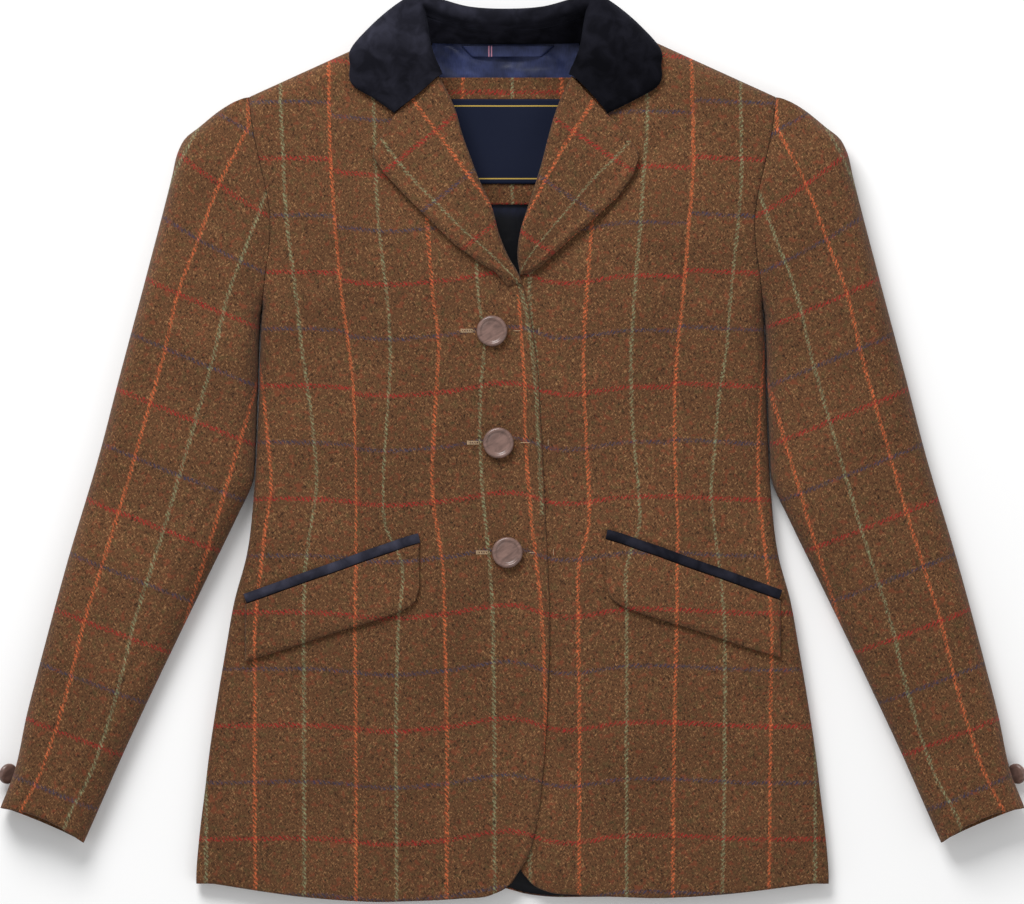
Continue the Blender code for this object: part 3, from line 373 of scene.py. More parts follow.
SLEEVE_UNDER = table(CREASE, [
    (.1800, .1500, .2000, .1800, .0110, .0007), (.1800, .0700, .2300, .0900, .0100, .0008),
    (.1850, .0050, .2500, .0300, .0110, .0008), (.2050, -.0500, .2680, -.0250, .0120, .0009),
    (.2300, -.1050, .2850, -.0850, .0110, .0008), (.2600, -.1700, .3000, -.1550, .0120, .0007),
])
SLEEVE_CREASES = {
    (True, RIGHT): SLEEVE_TOP[RIGHT], (True, LEFT): SLEEVE_TOP[LEFT],
    (False, RIGHT): SLEEVE_UNDER, (False, LEFT): SLEEVE_UNDER,
}
BACK_CREASES = table(CREASE, [
    (-.1300, .1700, .1200, .1900, .0140, .0007), (-.1350, .0600, -.0300, .0300, .0110, .0008),
    (.0200, .0500, .1350, .0750, .0120, .0008), (-.1400, -.0150, .0300, -.0250, .0130, .0008),
    (.0100, -.0400, .1400, -.0200, .0120, .0007), (-.0900, -.0800, -.0600, -.2500, .0200, .0008),
    (.0700, -.0700, .0850, -.2600, .0220, .0009), (.0000, .1500, .0050, -.2500, .0030, .0006),
    (-.1450, -.1300, -.1500, -.2600, .0160, .0007), (.1350, -.1200, .1500, -.2500, .0180, .0007),
])
LINING_CREASES = table(CREASE, [
    (-.0016, .2560, -.0020, .2380, .0007, -.0008), (-.0400, .2600, -.0150, .2470, .0028, .0019),
    (-.0200, .2640, .0100, .2540, .0024, -.0014), (.0050, .2620, .0350, .2500, .0028, .0019),
    (.0250, .2660, .0400, .2430, .0022, -.0015), (-.0520, .2560, -.0300, .2430, .0022, -.0016),
    (-.0100, .2500, .0220, .2430, .0018, .0013), (-.0460, .2660, -.0330, .2580, .0018, .0015),
    (.0120, .2480, .0380, .2460, .0016, .0012), (-.0360, .2490, -.0180, .2420, .0016, .0012),
])
SLEEVE_PRESS = 0.0176  # the pressed crease runs this far in from the inner side
PRESS_DEPTH, PRESS_SWELL = 0.0015, 0.0010  # its groove, and the swell beside it
PRESS_FROM = 0.42  # it starts this share of the way down the sleeve
CREASES_FROM = -0.0350  # the lapping front's, as a half width
PRINCESS = table("y half", [(0.0400, .1029), (0.0988, .1099), (0.1508, .1147), (0.2548, .1186)])
WEFT_WAVE = table("x drop", [
    (-.2000, 0), (-.1186, 0), (-.0796, .0034), (-.0470, .0009), (.0094, -.0036), (.0224, .0009),
    (.0770, -.0027), (.1596, 0), (.2000, 0),
])
EDGE_REACH, EDGE_DROP = 0.0030, 0.0013  # a cut edge turns down over this width, by this much
EDGE_RIDGE = {RIGHT: 0.0011, LEFT: 0.0}  # turned-in cloth inside the lapping front's edge
EDGE_RIDGE_AT, EDGE_RIDGE_TOP_Y = (0.0048, 0.0028), 0.098  # how far in and how wide, and its top
LAPEL_RIDGE, LAPEL_RIDGE_AT = 0.0013, (0.0050, 0.0030)  # and inside the lapels' edges
LAPEL_TIP_ROW = 7  # the row of LAPEL_ROWS at a lapel's point
LAPEL_END_DROP = 0.0016  # a lapel's lower end sinks into the front's edge by this much
LAST_WEFT = 3.8  # no stripe shows past this one, where the lapel rolls under


# ---- curves and heights, as the solids have them ----


def smooth(at, places, values):
    """Cubic curve through the table's points, its slope at each taken from its neighbours."""
    at = np.clip(at, places[0], places[-1])
    slopes = np.gradient(values, places)
    i = np.clip(np.searchsorted(places, at, side="right") - 1, 0, len(places) - 2)
    step = places[i + 1] - places[i]
    t = (at - places[i]) / step
    bend = step * t * (1 - t) * (slopes[i] * (1 - t) - slopes[i + 1] * t)
    return values[i] + (values[i + 1] - values[i]) * ease(t) + bend


def ease(t):
    """0 below t = 0, 1 above t = 1, and a smooth rise between."""
    t = np.clip(t, 0, 1)
    return t * t * (3 - 2 * t)


def read(rows, at, column):
    """A column of a table at places along its first column."""
    return smooth(at, next(iter(rows.values())), rows[column])


def arch(distance, reach):
    """Quarter of an ellipse: 0 at the edge, 1 from reach inwards."""
    return np.sqrt(1 - (1 - np.clip(distance / reach, 0, 1)) ** 2)


def hump(distance, middle, width):
    """exp(-((distance - middle) / width)^2): 1 at the middle, dying away on both sides."""
    return np.exp(-(((distance - middle) / width) ** 2))


def rail(outline, share):
    """Points at a share of the length along a smooth outline."""
    half, y = outline["half"], outline["y"]
    length = np.concatenate([[0], np.cumsum(np.hypot(np.diff(half), np.diff(y)))])
    length = length / length[-1]
    return np.stack([smooth(share, length, half), smooth(share, length, y)], axis=-1)


def turn(reach, count=9):
    """Distances in from a rolled edge, at even angles round its turn."""
    return reach * (1 - np.cos(np.linspace(0, np.pi / 2, count)))


def spread(count, low=0.0, high=0.0):
    """Places from 0 to 1: t - low t (1-t)^2 + high t^2 (1-t), so they draw together at an end."""
    t = np.linspace(0, 1, count)
    return t - low * t * (1 - t) ** 2 + high * t**2 * (1 - t)


def crown(half, y):
    """Height of the fronts away from their edges: a parabola across, from the table's middle."""
    return read(BODY_HEIGHT, y, "crown") - DOME * half**2


def seam(y):
    """Height of the body's side seam."""
    return read(BODY_HEIGHT, y, "seam")


def side(y):
    """Half width of the body."""
    return read(SIDE, y, "half")


def edge_line(which):
    """Centre edge of a front from the hem to the neck; above the break it is the roll line."""
    low, roll, neck = CENTRE_EDGE[which], LAPEL_ROWS[which], NECK[which]
    y = np.concatenate([low["y"], roll["roll_y"], neck["y"]])
    return y, np.concatenate([low["half"], roll["roll_half"], neck["half"]])


def overlap(y):
    """How far the right front's edge lies beyond the middle, towards the left."""
    return -smooth(y, *edge_line(RIGHT))


def armhole(y):
    """How far the armhole is open: 0 at the underarm and at the shoulder's tip, 1 between."""
    inside = np.minimum(y - UNDERARM_Y, TIP_Y - y)
    return arch(np.maximum(inside, 0), ARMHOLE_REACH)


def armhole_z(y):
    """Height of the front's rim along the side and the armhole."""
    top = crown(side(y), y) - ARMHOLE_VALLEY
    return seam(y) + GAP / 2 + (top - seam(y)) * armhole(y)


def below_shoulder(which, half, y):
    """Distance below the shoulder line, square to it."""
    neck_half, neck_y = NECK[which]["half"][-1], NECK[which]["y"][-1]
    line = neck_y - SHOULDER_SLOPE * (half - neck_half)
    return (line - y) / np.hypot(1, SHOULDER_SLOPE)


def drift(x, y, seed, height):
    """Slight waves of cloth that lies free: six sines of 30 to 90 mm in seeded directions."""
    draw = np.random.default_rng(seed)
    total = 0 * x * y
    for _ in range(6):
        angle, length, phase = draw.uniform(0, np.pi), draw.uniform(0.03, 0.09), draw.uniform(0, 6.3)
        along = x * np.cos(angle) + y * np.sin(angle)
        total = total + np.sin(2 * np.pi * along / length + phase)
    return total * height / 3


def relief(half, y, creases):
    """Sum of creases: rise x exp(-(distance from its line / width)^2), fading out at its ends."""
    total = 0 * half * y
    for x0, y0, x1, y1, width, rise in zip(*creases.values()):
        long = np.hypot(x1 - x0, y1 - y0)
        dx, dy = (x1 - x0) / long, (y1 - y0) / long
        t = ((half - x0) * dx + (y - y0) * dy) / long
        off = (half - x0) * dy - (y - y0) * dx
        fade = ease(t / 0.25) * ease((1 - t) / 0.25)
        total = total + rise * hump(off, 0, width) * fade
    return total


def front_z(which, half, y, creased=True):
    """Outer surface of a front over a point of the plan, with its creases."""
    top = crown(half, y)
    if which == LEFT:
        beyond = half - overlap(y) - OVERLAP_FLAT
        under = (1 - ease(beyond / OVERLAP_RAMP)) * (1 - ease((y - OVERLAP_TOP_Y) / OVERLAP_RAMP))
        top = top - (TWEED + GAP) * under
    closed = 1 - armhole(y)
    edge = armhole_z(y) + RIM * closed
    inside = side(y) - GAP / 2 - RIM * (1 - closed) - half
    top = edge + (top - edge) * arch(inside, BODY_ROLL)
    low = SHOULDER_SEAM_Z + SHOULDER_GAP / 2 + RIM
    top = low + (top - low) * arch(below_shoulder(which, half, y), SHOULDER_ROLL)
    if not creased:
        return top
    inner = overlap(y) + OVERLAP_FLAT if which == LEFT else CREASES_FROM
    fade = ease(inside / 0.014) * ease((half - inner) / 0.018)
    fade = fade * ease(below_shoulder(which, half, y) / 0.015)
    wave = drift(half, y, 7 + which, 0.0004)
    return top + fade * (relief(half, y, BODY_CREASES[which]) + wave)


def cut_edge(distance):
    """How far a cut edge's skin drops: the rest of a quarter ellipse."""
    return EDGE_DROP * (1 - arch(distance, EDGE_REACH))


# ---- points of each panel ----


def side_rows(below, above):
    """Places in SIDE_ROWS of a body panel's rows, so many below the underarm and above it. They
    draw together at the hem and at the shoulder's tip."""
    high = (len(SIDE_ROWS) - 1 - UNDERARM_ROW) * spread(above, 0, 0.85)[1:]
    return np.concatenate([spread(below, 0.85, 0) * UNDERARM_ROW, UNDERARM_ROW + high])


def front_points(which):
    """A front: rows from the hem to the shoulder, columns from the centre edge to the side."""
    edge_y, edge_half = edge_line(which)
    rows = np.arange(len(SIDE_ROWS))
    at = side_rows(120, 90)
    side_y = np.interp(at, rows, SIDE_ROWS)[:, None]
    centre_y = np.interp(at, rows, [*CENTRE_ROWS, edge_y[-1]])[:, None]
    v = (centre_y - HEM_CORNER_Y) / (edge_y[-1] - HEM_CORNER_Y)
    above = (centre_y - LAPEL_ROWS[which]["roll_y"][0]) / TUCK_RISE
    tuck = NECK_TUCK * ease(above) * (1 - ease((centre_y - 0.256) / 0.020))
    centre = smooth(centre_y, edge_y, edge_half) + tuck
    flat = spread(150, 0.8, 0)[:-1]
    share = np.append(flat, np.ones(10))[None, :]
    inset = np.append(np.full(len(flat), BODY_ROLL), turn(BODY_ROLL, 10)[::-1])[None, :]
    bow = read(HEM_BOW, share, "drop") * HEM_BOW_SCALE[which]
    end = side(side_y) - GAP / 2
    half = centre + (end - RIM * armhole(side_y) - inset - centre) * share
    level = (half - centre) / (end - centre)
    y = centre_y + (side_y - centre_y) * level - bow * (1 - v) ** 3
    half = half + (side(y) - side(side_y)) * level
    z = front_z(which, half, y) - cut_edge(np.minimum(half - centre, y - y[:1]))
    lapped = 1 - ease((y - EDGE_RIDGE_TOP_Y) / 0.020)
    z = z + EDGE_RIDGE[which] * lapped * hump(half - centre, *EDGE_RIDGE_AT)
    points = np.stack([half, y, z], axis=-1)
    rim = np.stack([side(side_y) - GAP / 2, side_y, armhole_z(side_y)], axis=-1)
    points = np.concatenate([points, rim], axis=1)
    top = points[-1:].copy()
    top[..., 2] = SHOULDER_SEAM_Z + SHOULDER_GAP / 2
    return np.concatenate([points, top]) * (which, 1, 1)


def back_rise(x, y):
    """Soft hollows of the underside where the laid cloth stands off the surface."""
    inside = ease((side(y) - 0.022 - np.abs(x)) / 0.03) * ease((y + 0.283) / 0.02)
    creases = relief(x, y, BACK_CREASES)
    return inside * (creases + 0.00035 + drift(x, y, 31, 0.00035))


def back_points():
    """The back's underside: rows from the hem to the shoulders and neck, columns across it."""
    side_y = np.interp(side_rows(90, 70), np.arange(len(SIDE_ROWS)), SIDE_ROWS)[:, None]
    v = (side_y - HEM_SIDE_Y) / (TIP_Y - HEM_SIDE_Y)
    open_edge = armhole(side_y)
    flats = np.linspace(-1, 1, 131)
    turns = turn(BACK_ROLL, 10)[:-1]
    share = np.concatenate([-np.ones(len(turns)), flats, np.ones(len(turns))])[None, :]
    inset = np.concatenate([turns, np.full(len(flats), BACK_ROLL), turns[::-1]])[None, :]
    x = share * (side(side_y) - GAP / 2 - RIM * open_edge - inset)
    share_out = x / side(side_y)
    hem = read(BACK_HEM, share_out * BACK_HEM["x"][-1], "y")
    top = np.interp(share_out * BACK_TOP["x"][-1], BACK_TOP["x"], BACK_TOP["y"])
    y = hem + (top - hem) * v
    edge_z = (seam(side_y) - GAP / 2) * (1 - open_edge)
    z = (edge_z - RIM * (1 - open_edge)) * (1 - arch(inset, BACK_ROLL))
    shoulder = ease((np.abs(x - NECK_AXIS_X) - 0.050) / 0.012)
    low = (SHOULDER_SEAM_Z - SHOULDER_GAP / 2 - RIM) * shoulder
    z = z + (low - z) * shoulder * (1 - arch((top - y) * 0.91, SHOULDER_ROLL))
    z = z + back_rise(x, y) * (1 - v**8)
    points = np.stack([x, y, z], axis=-1)
    rims = [
        np.stack([sign * (side(side_y) - GAP / 2), side_y, edge_z], axis=-1)
        for sign in (RIGHT, LEFT)
    ]
    points = np.concatenate([rims[0], points, rims[1]], axis=1)
    ridge = points[-1:].copy()
    ridge[..., 2] = ridge[..., 2] + RIM * np.concatenate([[[1]], shoulder[-1:], [[1]]], axis=1)
    ridge[0, [0, -1], 2] = SHOULDER_SEAM_Z - SHOULDER_GAP / 2
    ridge[0, 1:-1, 1] += (1 - shoulder[-1]) * RIM
    return np.concatenate([points, ridge])


def sleeve_edges(count=170):
    """Ends of the sleeve's rows: its inner side from the shoulder's tip to the cuff, its outer
    side at the same distance down the sleeve, and each row's share of that distance."""
    down_rows = SIDE_ROWS[: UNDERARM_ROW - 1 : -1]
    at = spread(60, 0.7, 0) * (len(down_rows) - 1)
    hole_y = np.interp(at, np.arange(len(down_rows)), down_rows)
    hole = np.stack([side(hole_y), hole_y], axis=-1)
    low = rail(SLEEVE_INNER, spread(count - 59, 0, 0.8)[1:])
    low[:, 0] = np.maximum(low[:, 0], side(low[:, 1]) + SIDE_CLEAR)
    inner = np.concatenate([hole, low])
    down = (inner - hole[0]) @ SLEEVE_AXIS
    along = down / down[-1]
    share = np.linspace(0, 1, 400)
    rail_down = rail(SLEEVE_OUTER, share) @ SLEEVE_AXIS
    rail_down = rail_down - rail_down[0]
    outer = rail(SLEEVE_OUTER, np.interp(along, rail_down / rail_down[-1], share))
    return inner, outer, along[:, None]


def sleeve_points(which, upper):
    """Upper or lower layer: rows from the shoulder's tip to the cuff, columns outer to inner."""
    inner, outer, along = sleeve_edges()
    peak, low, reach = (
        read(SLEEVE_HEIGHT, along, name) for name in ("crown", "seam", "inner_reach")
    )
    y = inner[:, 1:]
    in_hole = y >= UNDERARM_Y
    hole_open = armhole(y)
    inner_seam = np.where(in_hole, seam(y), low)
    inner = inner[:, None] + np.stack([GAP / 2 + RIM * hole_open, 0 * y], axis=-1)
    outer = outer[:, None]
    width = np.linalg.norm(inner - outer, axis=-1)
    outer_reach, reach = np.minimum(SLEEVE_ROLL, 0.45 * width), np.minimum(reach, 0.45 * width)
    outer_turn = turn(1, 10)[None, :] * outer_reach
    inner_turn = width - turn(1, 14)[::-1][None, :] * reach
    flats = np.linspace(0, 1, 34)[1:-1][None, :]
    start, end = outer_turn[:, -1:], inner_turn[:, :1]
    inset = np.concatenate([outer_turn, start + (end - start) * flats, inner_turn], axis=1)
    share = inset / width
    plan = outer + (inner - outer) * share[..., None]
    from_inner = (width - inset) / reach
    soft = np.sin(np.clip(from_inner, 0, 1) * np.pi / 2)
    inner_rise = arch(from_inner, 1) + (soft - arch(from_inner, 1)) * hole_open
    outer_rise = arch(inset, outer_reach)
    bow = 4 * share * (1 - share) * (CUFF_BOW * along**14 if upper else 0.0008)
    plan = plan + bow[..., None] * np.array([-0.3, 1])
    if upper:
        outer_rim = low + GAP / 2
        hole_top = crown(side(y), y) - ARMHOLE_VALLEY
        inner_rim = inner_seam + GAP / 2 + (hole_top - inner_seam) * hole_open
        lift, top = RIM, peak
    else:
        outer_rim = low - GAP / 2
        inner_rim = (inner_seam - GAP / 2) * (1 - hole_open)
        lift, top = -RIM, 0 * peak
    outer_edge, inner_edge = outer_rim + lift, inner_rim + lift * (1 - hole_open)
    z = top - (top - outer_edge) * (1 - outer_rise) - (top - inner_edge) * (1 - inner_rise)
    z[0] = outer_edge[0]
    fade = ease(inset / 0.012) * ease((width - inset) / 0.012) * ease(along / 0.06)
    creases = relief(plan[..., 0], plan[..., 1], SLEEVE_CREASES[upper, which])
    wave = drift(plan[..., 0], plan[..., 1], 17 + 3 * upper + which, 0.0006)
    if upper:
        from_press = width - inset - SLEEVE_PRESS
        pressed = -PRESS_DEPTH * hump(from_press, 0, 0.0018)
        pressed = pressed + PRESS_SWELL * hump(from_press, 0.004, 0.0024)
        down_half = ease((along - PRESS_FROM) / 0.1)
        z = z + fade * (creases + wave + pressed * down_half)
        z = z - cut_edge((1 - along) * 0.45)
    else:
        z = z + fade * np.maximum(creases + wave + 0.0005, 0) * ease((1 - along) / 0.03)
    points = np.concatenate([plan, z[..., None]], axis=-1)
    outer_foot, inner_foot = points[:, :1].copy(), points[:, -1:].copy()
    outer_foot[..., 2] = outer_rim
    inner_foot[..., 0] = side(y) + GAP / 2
    inner_foot[~in_hole[:, 0], 0, 0] = points[~in_hole[:, 0], -1, 0]
    inner_foot[..., 2] = inner_rim
    points = np.concatenate([outer_foot, points, inner_foot], axis=1)
    end = points[:1].copy()
    end[..., 2] = outer_rim[0]
    return np.concatenate([end, points]) * (which, 1, 1)


def lapel_points(which):
    """A lapel: rows from the break to the gorge seam, columns from inside the fold to its edge."""
    rows = LAPEL_ROWS[which]
    station = np.arange(len(rows["roll_y"]))
    at = spread(121, 0.6, 0.6) * station[-1]
    roll_y = smooth(at, station, rows["roll_y"])
    roll = np.stack([smooth(roll_y, *edge_line(which)), roll_y], axis=-1)
    tip = hump(at, LAPEL_TIP_ROW, 0.16)[:, None]
    edge = np.stack([np.interp(at, station, rows[name]) for name in ("edge_half", "edge_y")], -1)
    edge = edge + (roll - edge) * 0.015 * tip
    width = np.linalg.norm(edge - roll, axis=-1)[:, None]
    high = REST + LAPEL + LAPEL_PUFF * np.minimum(1, width / 0.03)
    fold = np.minimum(np.minimum(LAPEL_FOLD, 0.42 * width), high - REST - 0.0006)
    angle = np.linspace(0, np.pi / 2, 9)[None, :]
    flat = spread(44, 0, 0.85)[None, 1:]
    above = roll_y - rows["roll_y"][0]
    inside = np.interp(above, LAPEL_INSIDE["above_break"], LAPEL_INSIDE["depth"])[:, None]
    out = np.concatenate(
        [0 * fold, fold * (1 - np.cos(angle)), fold + (width - fold) * flat], axis=1
    )
    lift = np.concatenate(
        [
            -inside,
            high - fold + fold * np.sin(angle),
            REST + LAPEL + (high - REST - LAPEL) * (1 - flat) ** 2,
        ],
        axis=1,
    )
    plan = roll[:, None] + (edge - roll)[:, None] * (out / width)[..., None]
    half, y = plan[..., 0], plan[..., 1]
    base = front_z(which, half, y, creased=False)
    free = ease(out / 0.012) * ease((width - out) / 0.006)
    lift = lift + free * (drift(half, y, 40 + which, 0.0005) + 0.0004)
    below_tip = (ease(at / 0.8) * (1 - ease((at - LAPEL_TIP_ROW + 0.5) / 0.7)))[:, None]
    ridge = hump(width - out, *LAPEL_RIDGE_AT) * ease(out / 0.008)
    lift = lift + below_tip * (LAPEL_RIDGE * ridge + 0.0007 * ease(1 - (width - out) / 0.012))
    near_end = np.minimum((at - at[0]) * 0.011, 0.02)[:, None]
    lift = lift - LAPEL_END_DROP * (1 - ease(near_end / 0.010)) * ease(out / 0.004)
    lift = lift - cut_edge(np.minimum(width - out, near_end + 0 * out)) * ease(out / 0.004)
    return np.stack([half, y, base + lift], axis=-1) * (which, 1, 1)


def collar_sections():
    """The stand and the fall: rows from the right gorge to the left one, columns foot to edge."""
    count = len(COLLAR_ROWS["fold_y"])
    station = np.arange(2 * count - 1)
    mirror = np.concatenate([np.arange(count), np.arange(count - 1)[::-1]])
    sign = np.where(station < count, RIGHT, LEFT)
    at = spread(220, 0.7, 0.7) * station[-1]

    def line(name):
        half = COLLAR_ROWS[name + "_half"][mirror] * sign + NECK_AXIS_X
        if name == "edge":
            half[[0, -1]] += COLLAR_POINT_SHIFT
        y, z = COLLAR_ROWS[name + "_y"][mirror], COLLAR_ROWS[name + "_z"][mirror]
        return np.stack([smooth(at, station, values) for values in (half, y, z)], axis=-1)

    fold, foot, brow, edge = (line(name)[:, None] for name in ("fold", "foot", "brow", "edge"))
    out = (brow - fold) * (1, 1, 0)
    out = out / np.linalg.norm(out, axis=-1, keepdims=True)
    up = np.array([0, 0, COLLAR_FOLD])
    inner = fold - up
    rise = np.concatenate([np.linspace(0, STAND_SHARE, 14), [0.8, 0.87, 0.94]])[None, :, None]
    angle = np.linspace(0, np.pi / 2, 9)[None, :, None]
    t = spread(36, 0, 0.85)[None, 1:, None]
    top = fold + out * COLLAR_FOLD
    lead = top + out * 0.45 * np.linalg.norm((brow - top) * (1, 1, 0), axis=-1, keepdims=True)
    fall = (
        top * (1 - t) ** 3
        + lead * 3 * t * (1 - t) ** 2
        + brow * 3 * t * t * (1 - t)
        + edge * t**3
    )
    free = ease(t / 0.3) * ease((1 - t) / 0.2)
    fall[..., 2:] += free * drift(fall[..., :1], fall[..., 1:2], 51, 0.0005)
    fall[..., 2:] -= cut_edge((1 - t) * 0.045)
    wall = inner - foot
    from_corner = np.abs(np.minimum(at, station[-1] - at) - CORNER_STATION)[:, None, None]
    gap = STAND_GAP[0] + (STAND_GAP[1] - STAND_GAP[0]) * (1 - ease(from_corner / 1.5))
    slit = wall / np.linalg.norm(wall, axis=-1, keepdims=True) * gap / 2
    face = foot + wall * rise
    turnover = inner + out * COLLAR_FOLD * (1 - np.cos(angle)) + up * np.sin(angle)
    stand = np.concatenate([face[:, :13], face[:, 13:14] - slit], axis=1)
    return stand, np.concatenate([face[:, 13:14] + slit, face[:, 14:], turnover, fall], axis=1)


def pocket(which, count=90):
    """A pocket's stations, the welt's middle line, the flap's lower edge and the line's slope."""
    out, up = POCKET_SHIFT[which]
    at = np.interp(spread(count, 0.9, 0.7) * 9, np.arange(10), POCKET["half"])
    slope = np.gradient(POCKET["welt_y"], POCKET["half"])
    welt, low, slope = (
        smooth(at, POCKET["half"], row) for row in (POCKET["welt_y"], POCKET["low_y"], slope)
    )
    return [row[None, :] for row in (at + out, welt + up, low + up, slope)]


def flap_points(which):
    """A pocket flap: rows from its lower edge up to the welt, columns from its inner end."""
    half, welt_y, low_y, slope = pocket(which)
    top_y = welt_y - (WELT_WIDTH / 2 + GAP) * np.hypot(1, slope)
    v = spread(36, 0.85, 0)[:, None]
    y = low_y + (top_y - low_y) * v
    half = half + 0 * y
    ends = np.minimum(half - half[:, :1], half[:, -1:] - half)
    inside = np.minimum(y - low_y, ends)
    puff = (0.0012 + 0.0011 * ease(inside / 0.006)) * (1 - v) + drift(half, y, 61 + which, 0.0003)
    z = front_z(which, half, y) + POCKET_REST + TWEED + puff - cut_edge(inside)
    return np.stack([which * half, y, z], axis=-1)


def welt_points(which):
    """A pocket's welt: a strip along the flap's top, crowned across."""
    across = np.linspace(-1, 1, 11)[:, None]
    half, middle, _, slope = pocket(which)
    long = np.hypot(1, slope)
    half_width = (WELT_WIDTH / 2 - GAP / 2) * across
    x, y = half - half_width * slope / long, middle + half_width / long
    z = front_z(which, x, y) + POCKET_REST + WELT_WALL + WELT_RISE * (1 - across**2)
    return np.stack([which * x, y, z], axis=-1)


def lining_points():
    """The back's lining, which lies on the back inside its rolled sides."""
    share, v = np.linspace(-1, 1, 101)[None, :], spread(110, 0, 0.8)[:, None]
    side_y = HEM_SIDE_Y + (TIP_Y - HEM_SIDE_Y) * v
    x = share * (side(side_y) - LINING_MARGIN)
    hem = read(BACK_HEM, x, "y") + LINING_HEM
    near_neck = 1 - ease((np.abs(x - NECK_AXIS_X) - 0.0445) / 0.008)
    margin = LINING_NECK + (LINING_MARGIN - LINING_NECK) * (1 - near_neck)
    top = np.interp(x, BACK_TOP["x"], BACK_TOP["y"]) - margin
    y = hem + (top - hem) * v
    shown = ease((y - 0.236) / 0.006) * ease((0.267 - y) / 0.006)
    z = TWEED + GAP + LINING + back_rise(x, y) * (1 - v**8)
    folds = relief(x, y, LINING_CREASES) * shown
    return np.stack([x, y, z + np.maximum(folds, -0.8 * LINING)], axis=-1)


def flat_points(top_x, low_x, top_y, low_y, z, columns, rows):
    """A sheet between an upper and a lower edge, on the back's soft hollows."""
    u, v = np.linspace(0, 1, columns)[None, :], np.linspace(0, 1, rows)[:, None]
    low, high = low_x[0] + (low_x[1] - low_x[0]) * u, top_x[0] + (top_x[1] - top_x[0]) * u
    x = low + (high - low) * v
    y = low_y + (top_y - low_y) * v + 0 * u
    return np.stack([x, y, z + back_rise(x, y)], axis=-1)


# ---- where the check falls on each panel ----


def lines_across(half, y, lines, first):
    """A point's place across the warp in stripes: which two lines it lies between, and its share."""
    at = [smooth(y, lines["y"], values) for name, values in lines.items() if name != "y"]
    count = len(at) - 1
    place = first + 0 * half * y
    for i in range(count):
        share = (half - at[i]) / (at[i + 1] - at[i])
        place = place + np.clip(share, -9 if i == 0 else 0, 9 if i == count - 1 else 1)
    return place


def front_check(points, which):
    """Across: by the front's own lines. Along: down from the top stripe, with its wave and step."""
    half, y = points[..., 0] * which, points[..., 1]
    across = lines_across(half, y, FRONT_WARP[which], FIRST_WARP[which])
    if which == RIGHT:  # one more green stripe follows its edge, down to the second button
        from_stripe = half + overlap(y) - EDGE_STRIPE
        near = (np.abs(from_stripe) < EDGE_STRIPE_HALF) & (y > EDGE_STRIPE_Y)
        across = np.where(near, from_stripe / WARP_STEP - 1, across)
    inner = ease((read(PRINCESS, y, "half") - half) / 0.0012)
    drop = read(WEFT_WAVE, points[..., 0], "drop") + read(YOKE_DROP, y, "drop") * inner
    return np.stack([across * WARP_STEP, TOP_WEFT_Y - drop - y], axis=-1)


def sleeve_check(points, which):
    """Across: from the orange line along X. Along: down from the top stripe, on its slope."""
    half, y = points[..., 0] * which, points[..., 1]
    from_line = half - read(SLEEVE_WARP, y, "half")
    slope = read(SLEEVE_WEFT_SLOPE, y, "slope")
    along = (SLEEVE_WEFT_Y - (y - slope * from_line)) / SLEEVE_WEFT_STEP
    return np.stack([from_line / SLEEVE_WARP_STEP * WARP_STEP, along * WEFT_STEP], axis=-1)


def lapel_check(points, which):
    """Across: from the lapel's orange line to its green one. Along: square to the weft."""
    half, y = points[..., 0] * which, points[..., 1]
    across = lines_across(half, y, LAPEL_WARP[which], 0)
    by_half, by_y, red, step = LAPEL_WEFT[which]
    along = (red - by_half * half - by_y * y) / step
    return np.stack([across * WARP_STEP, np.minimum(along + 1, LAST_WEFT) * WEFT_STEP], axis=-1)


def straight_check(points, x=0.0, y=TOP_WEFT_Y):
    """The check laid straight, an orange stripe at x and a navy one at y."""
    return np.stack([points[..., 0] - x, y - points[..., 1]], axis=-1)


def linear(code):
    """Linear red, green and blue of an sRGB hex colour."""
    value = np.array([int(code[i : i + 2], 16) for i in (1, 3, 5)]) / 255
    return tuple(np.where(value <= 0.04045, value / 12.92, ((value + 0.055) / 1.055) ** 2.4))


# ---- what a user would change ----


def colour(name, description, code):
    return bpy.props.FloatVectorProperty(
        name=name, description=description, default=linear(code), subtype="COLOR", size=3, min=0, max=1
    )


class JacketTweed(bpy.types.PropertyGroup):
    """Colours and spacing of the windowpane tweed."""

    ground: colour("Ground", "Brown of most of the yarn", "#5a3c26")
    dark: colour("Dark fleck", "Darkest yarn in the ground", "#2f1f14")
    pale: colour("Pale fleck", "Lightest yarn in the ground", "#976f4a")
    rust: colour("Rust fleck", "Warm yarn scattered in the ground", "#773c27")
    olive: colour("Olive fleck", "Green yarn scattered in the ground", "#4f4a2c")
    orange: colour("Orange warp", "Every other stripe along the piece", "#d0663c")
    green: colour("Green warp", "The stripes between the orange ones", "#868f6c")
    red: colour("Red weft", "Every other stripe across the piece", "#941e20")
    navy: colour("Navy weft", "The stripes between the red ones", "#28304a")
    warp_step: bpy.props.FloatProperty(
        name="Warp spacing", description="From an orange stripe to the green one beside it",
        default=WARP_STEP, min=0.01, unit="LENGTH",
    )
    weft_step: bpy.props.FloatProperty(
        name="Weft spacing", description="From a navy stripe to the red one beside it",
        default=WEFT_STEP, min=0.01, unit="LENGTH",
    )


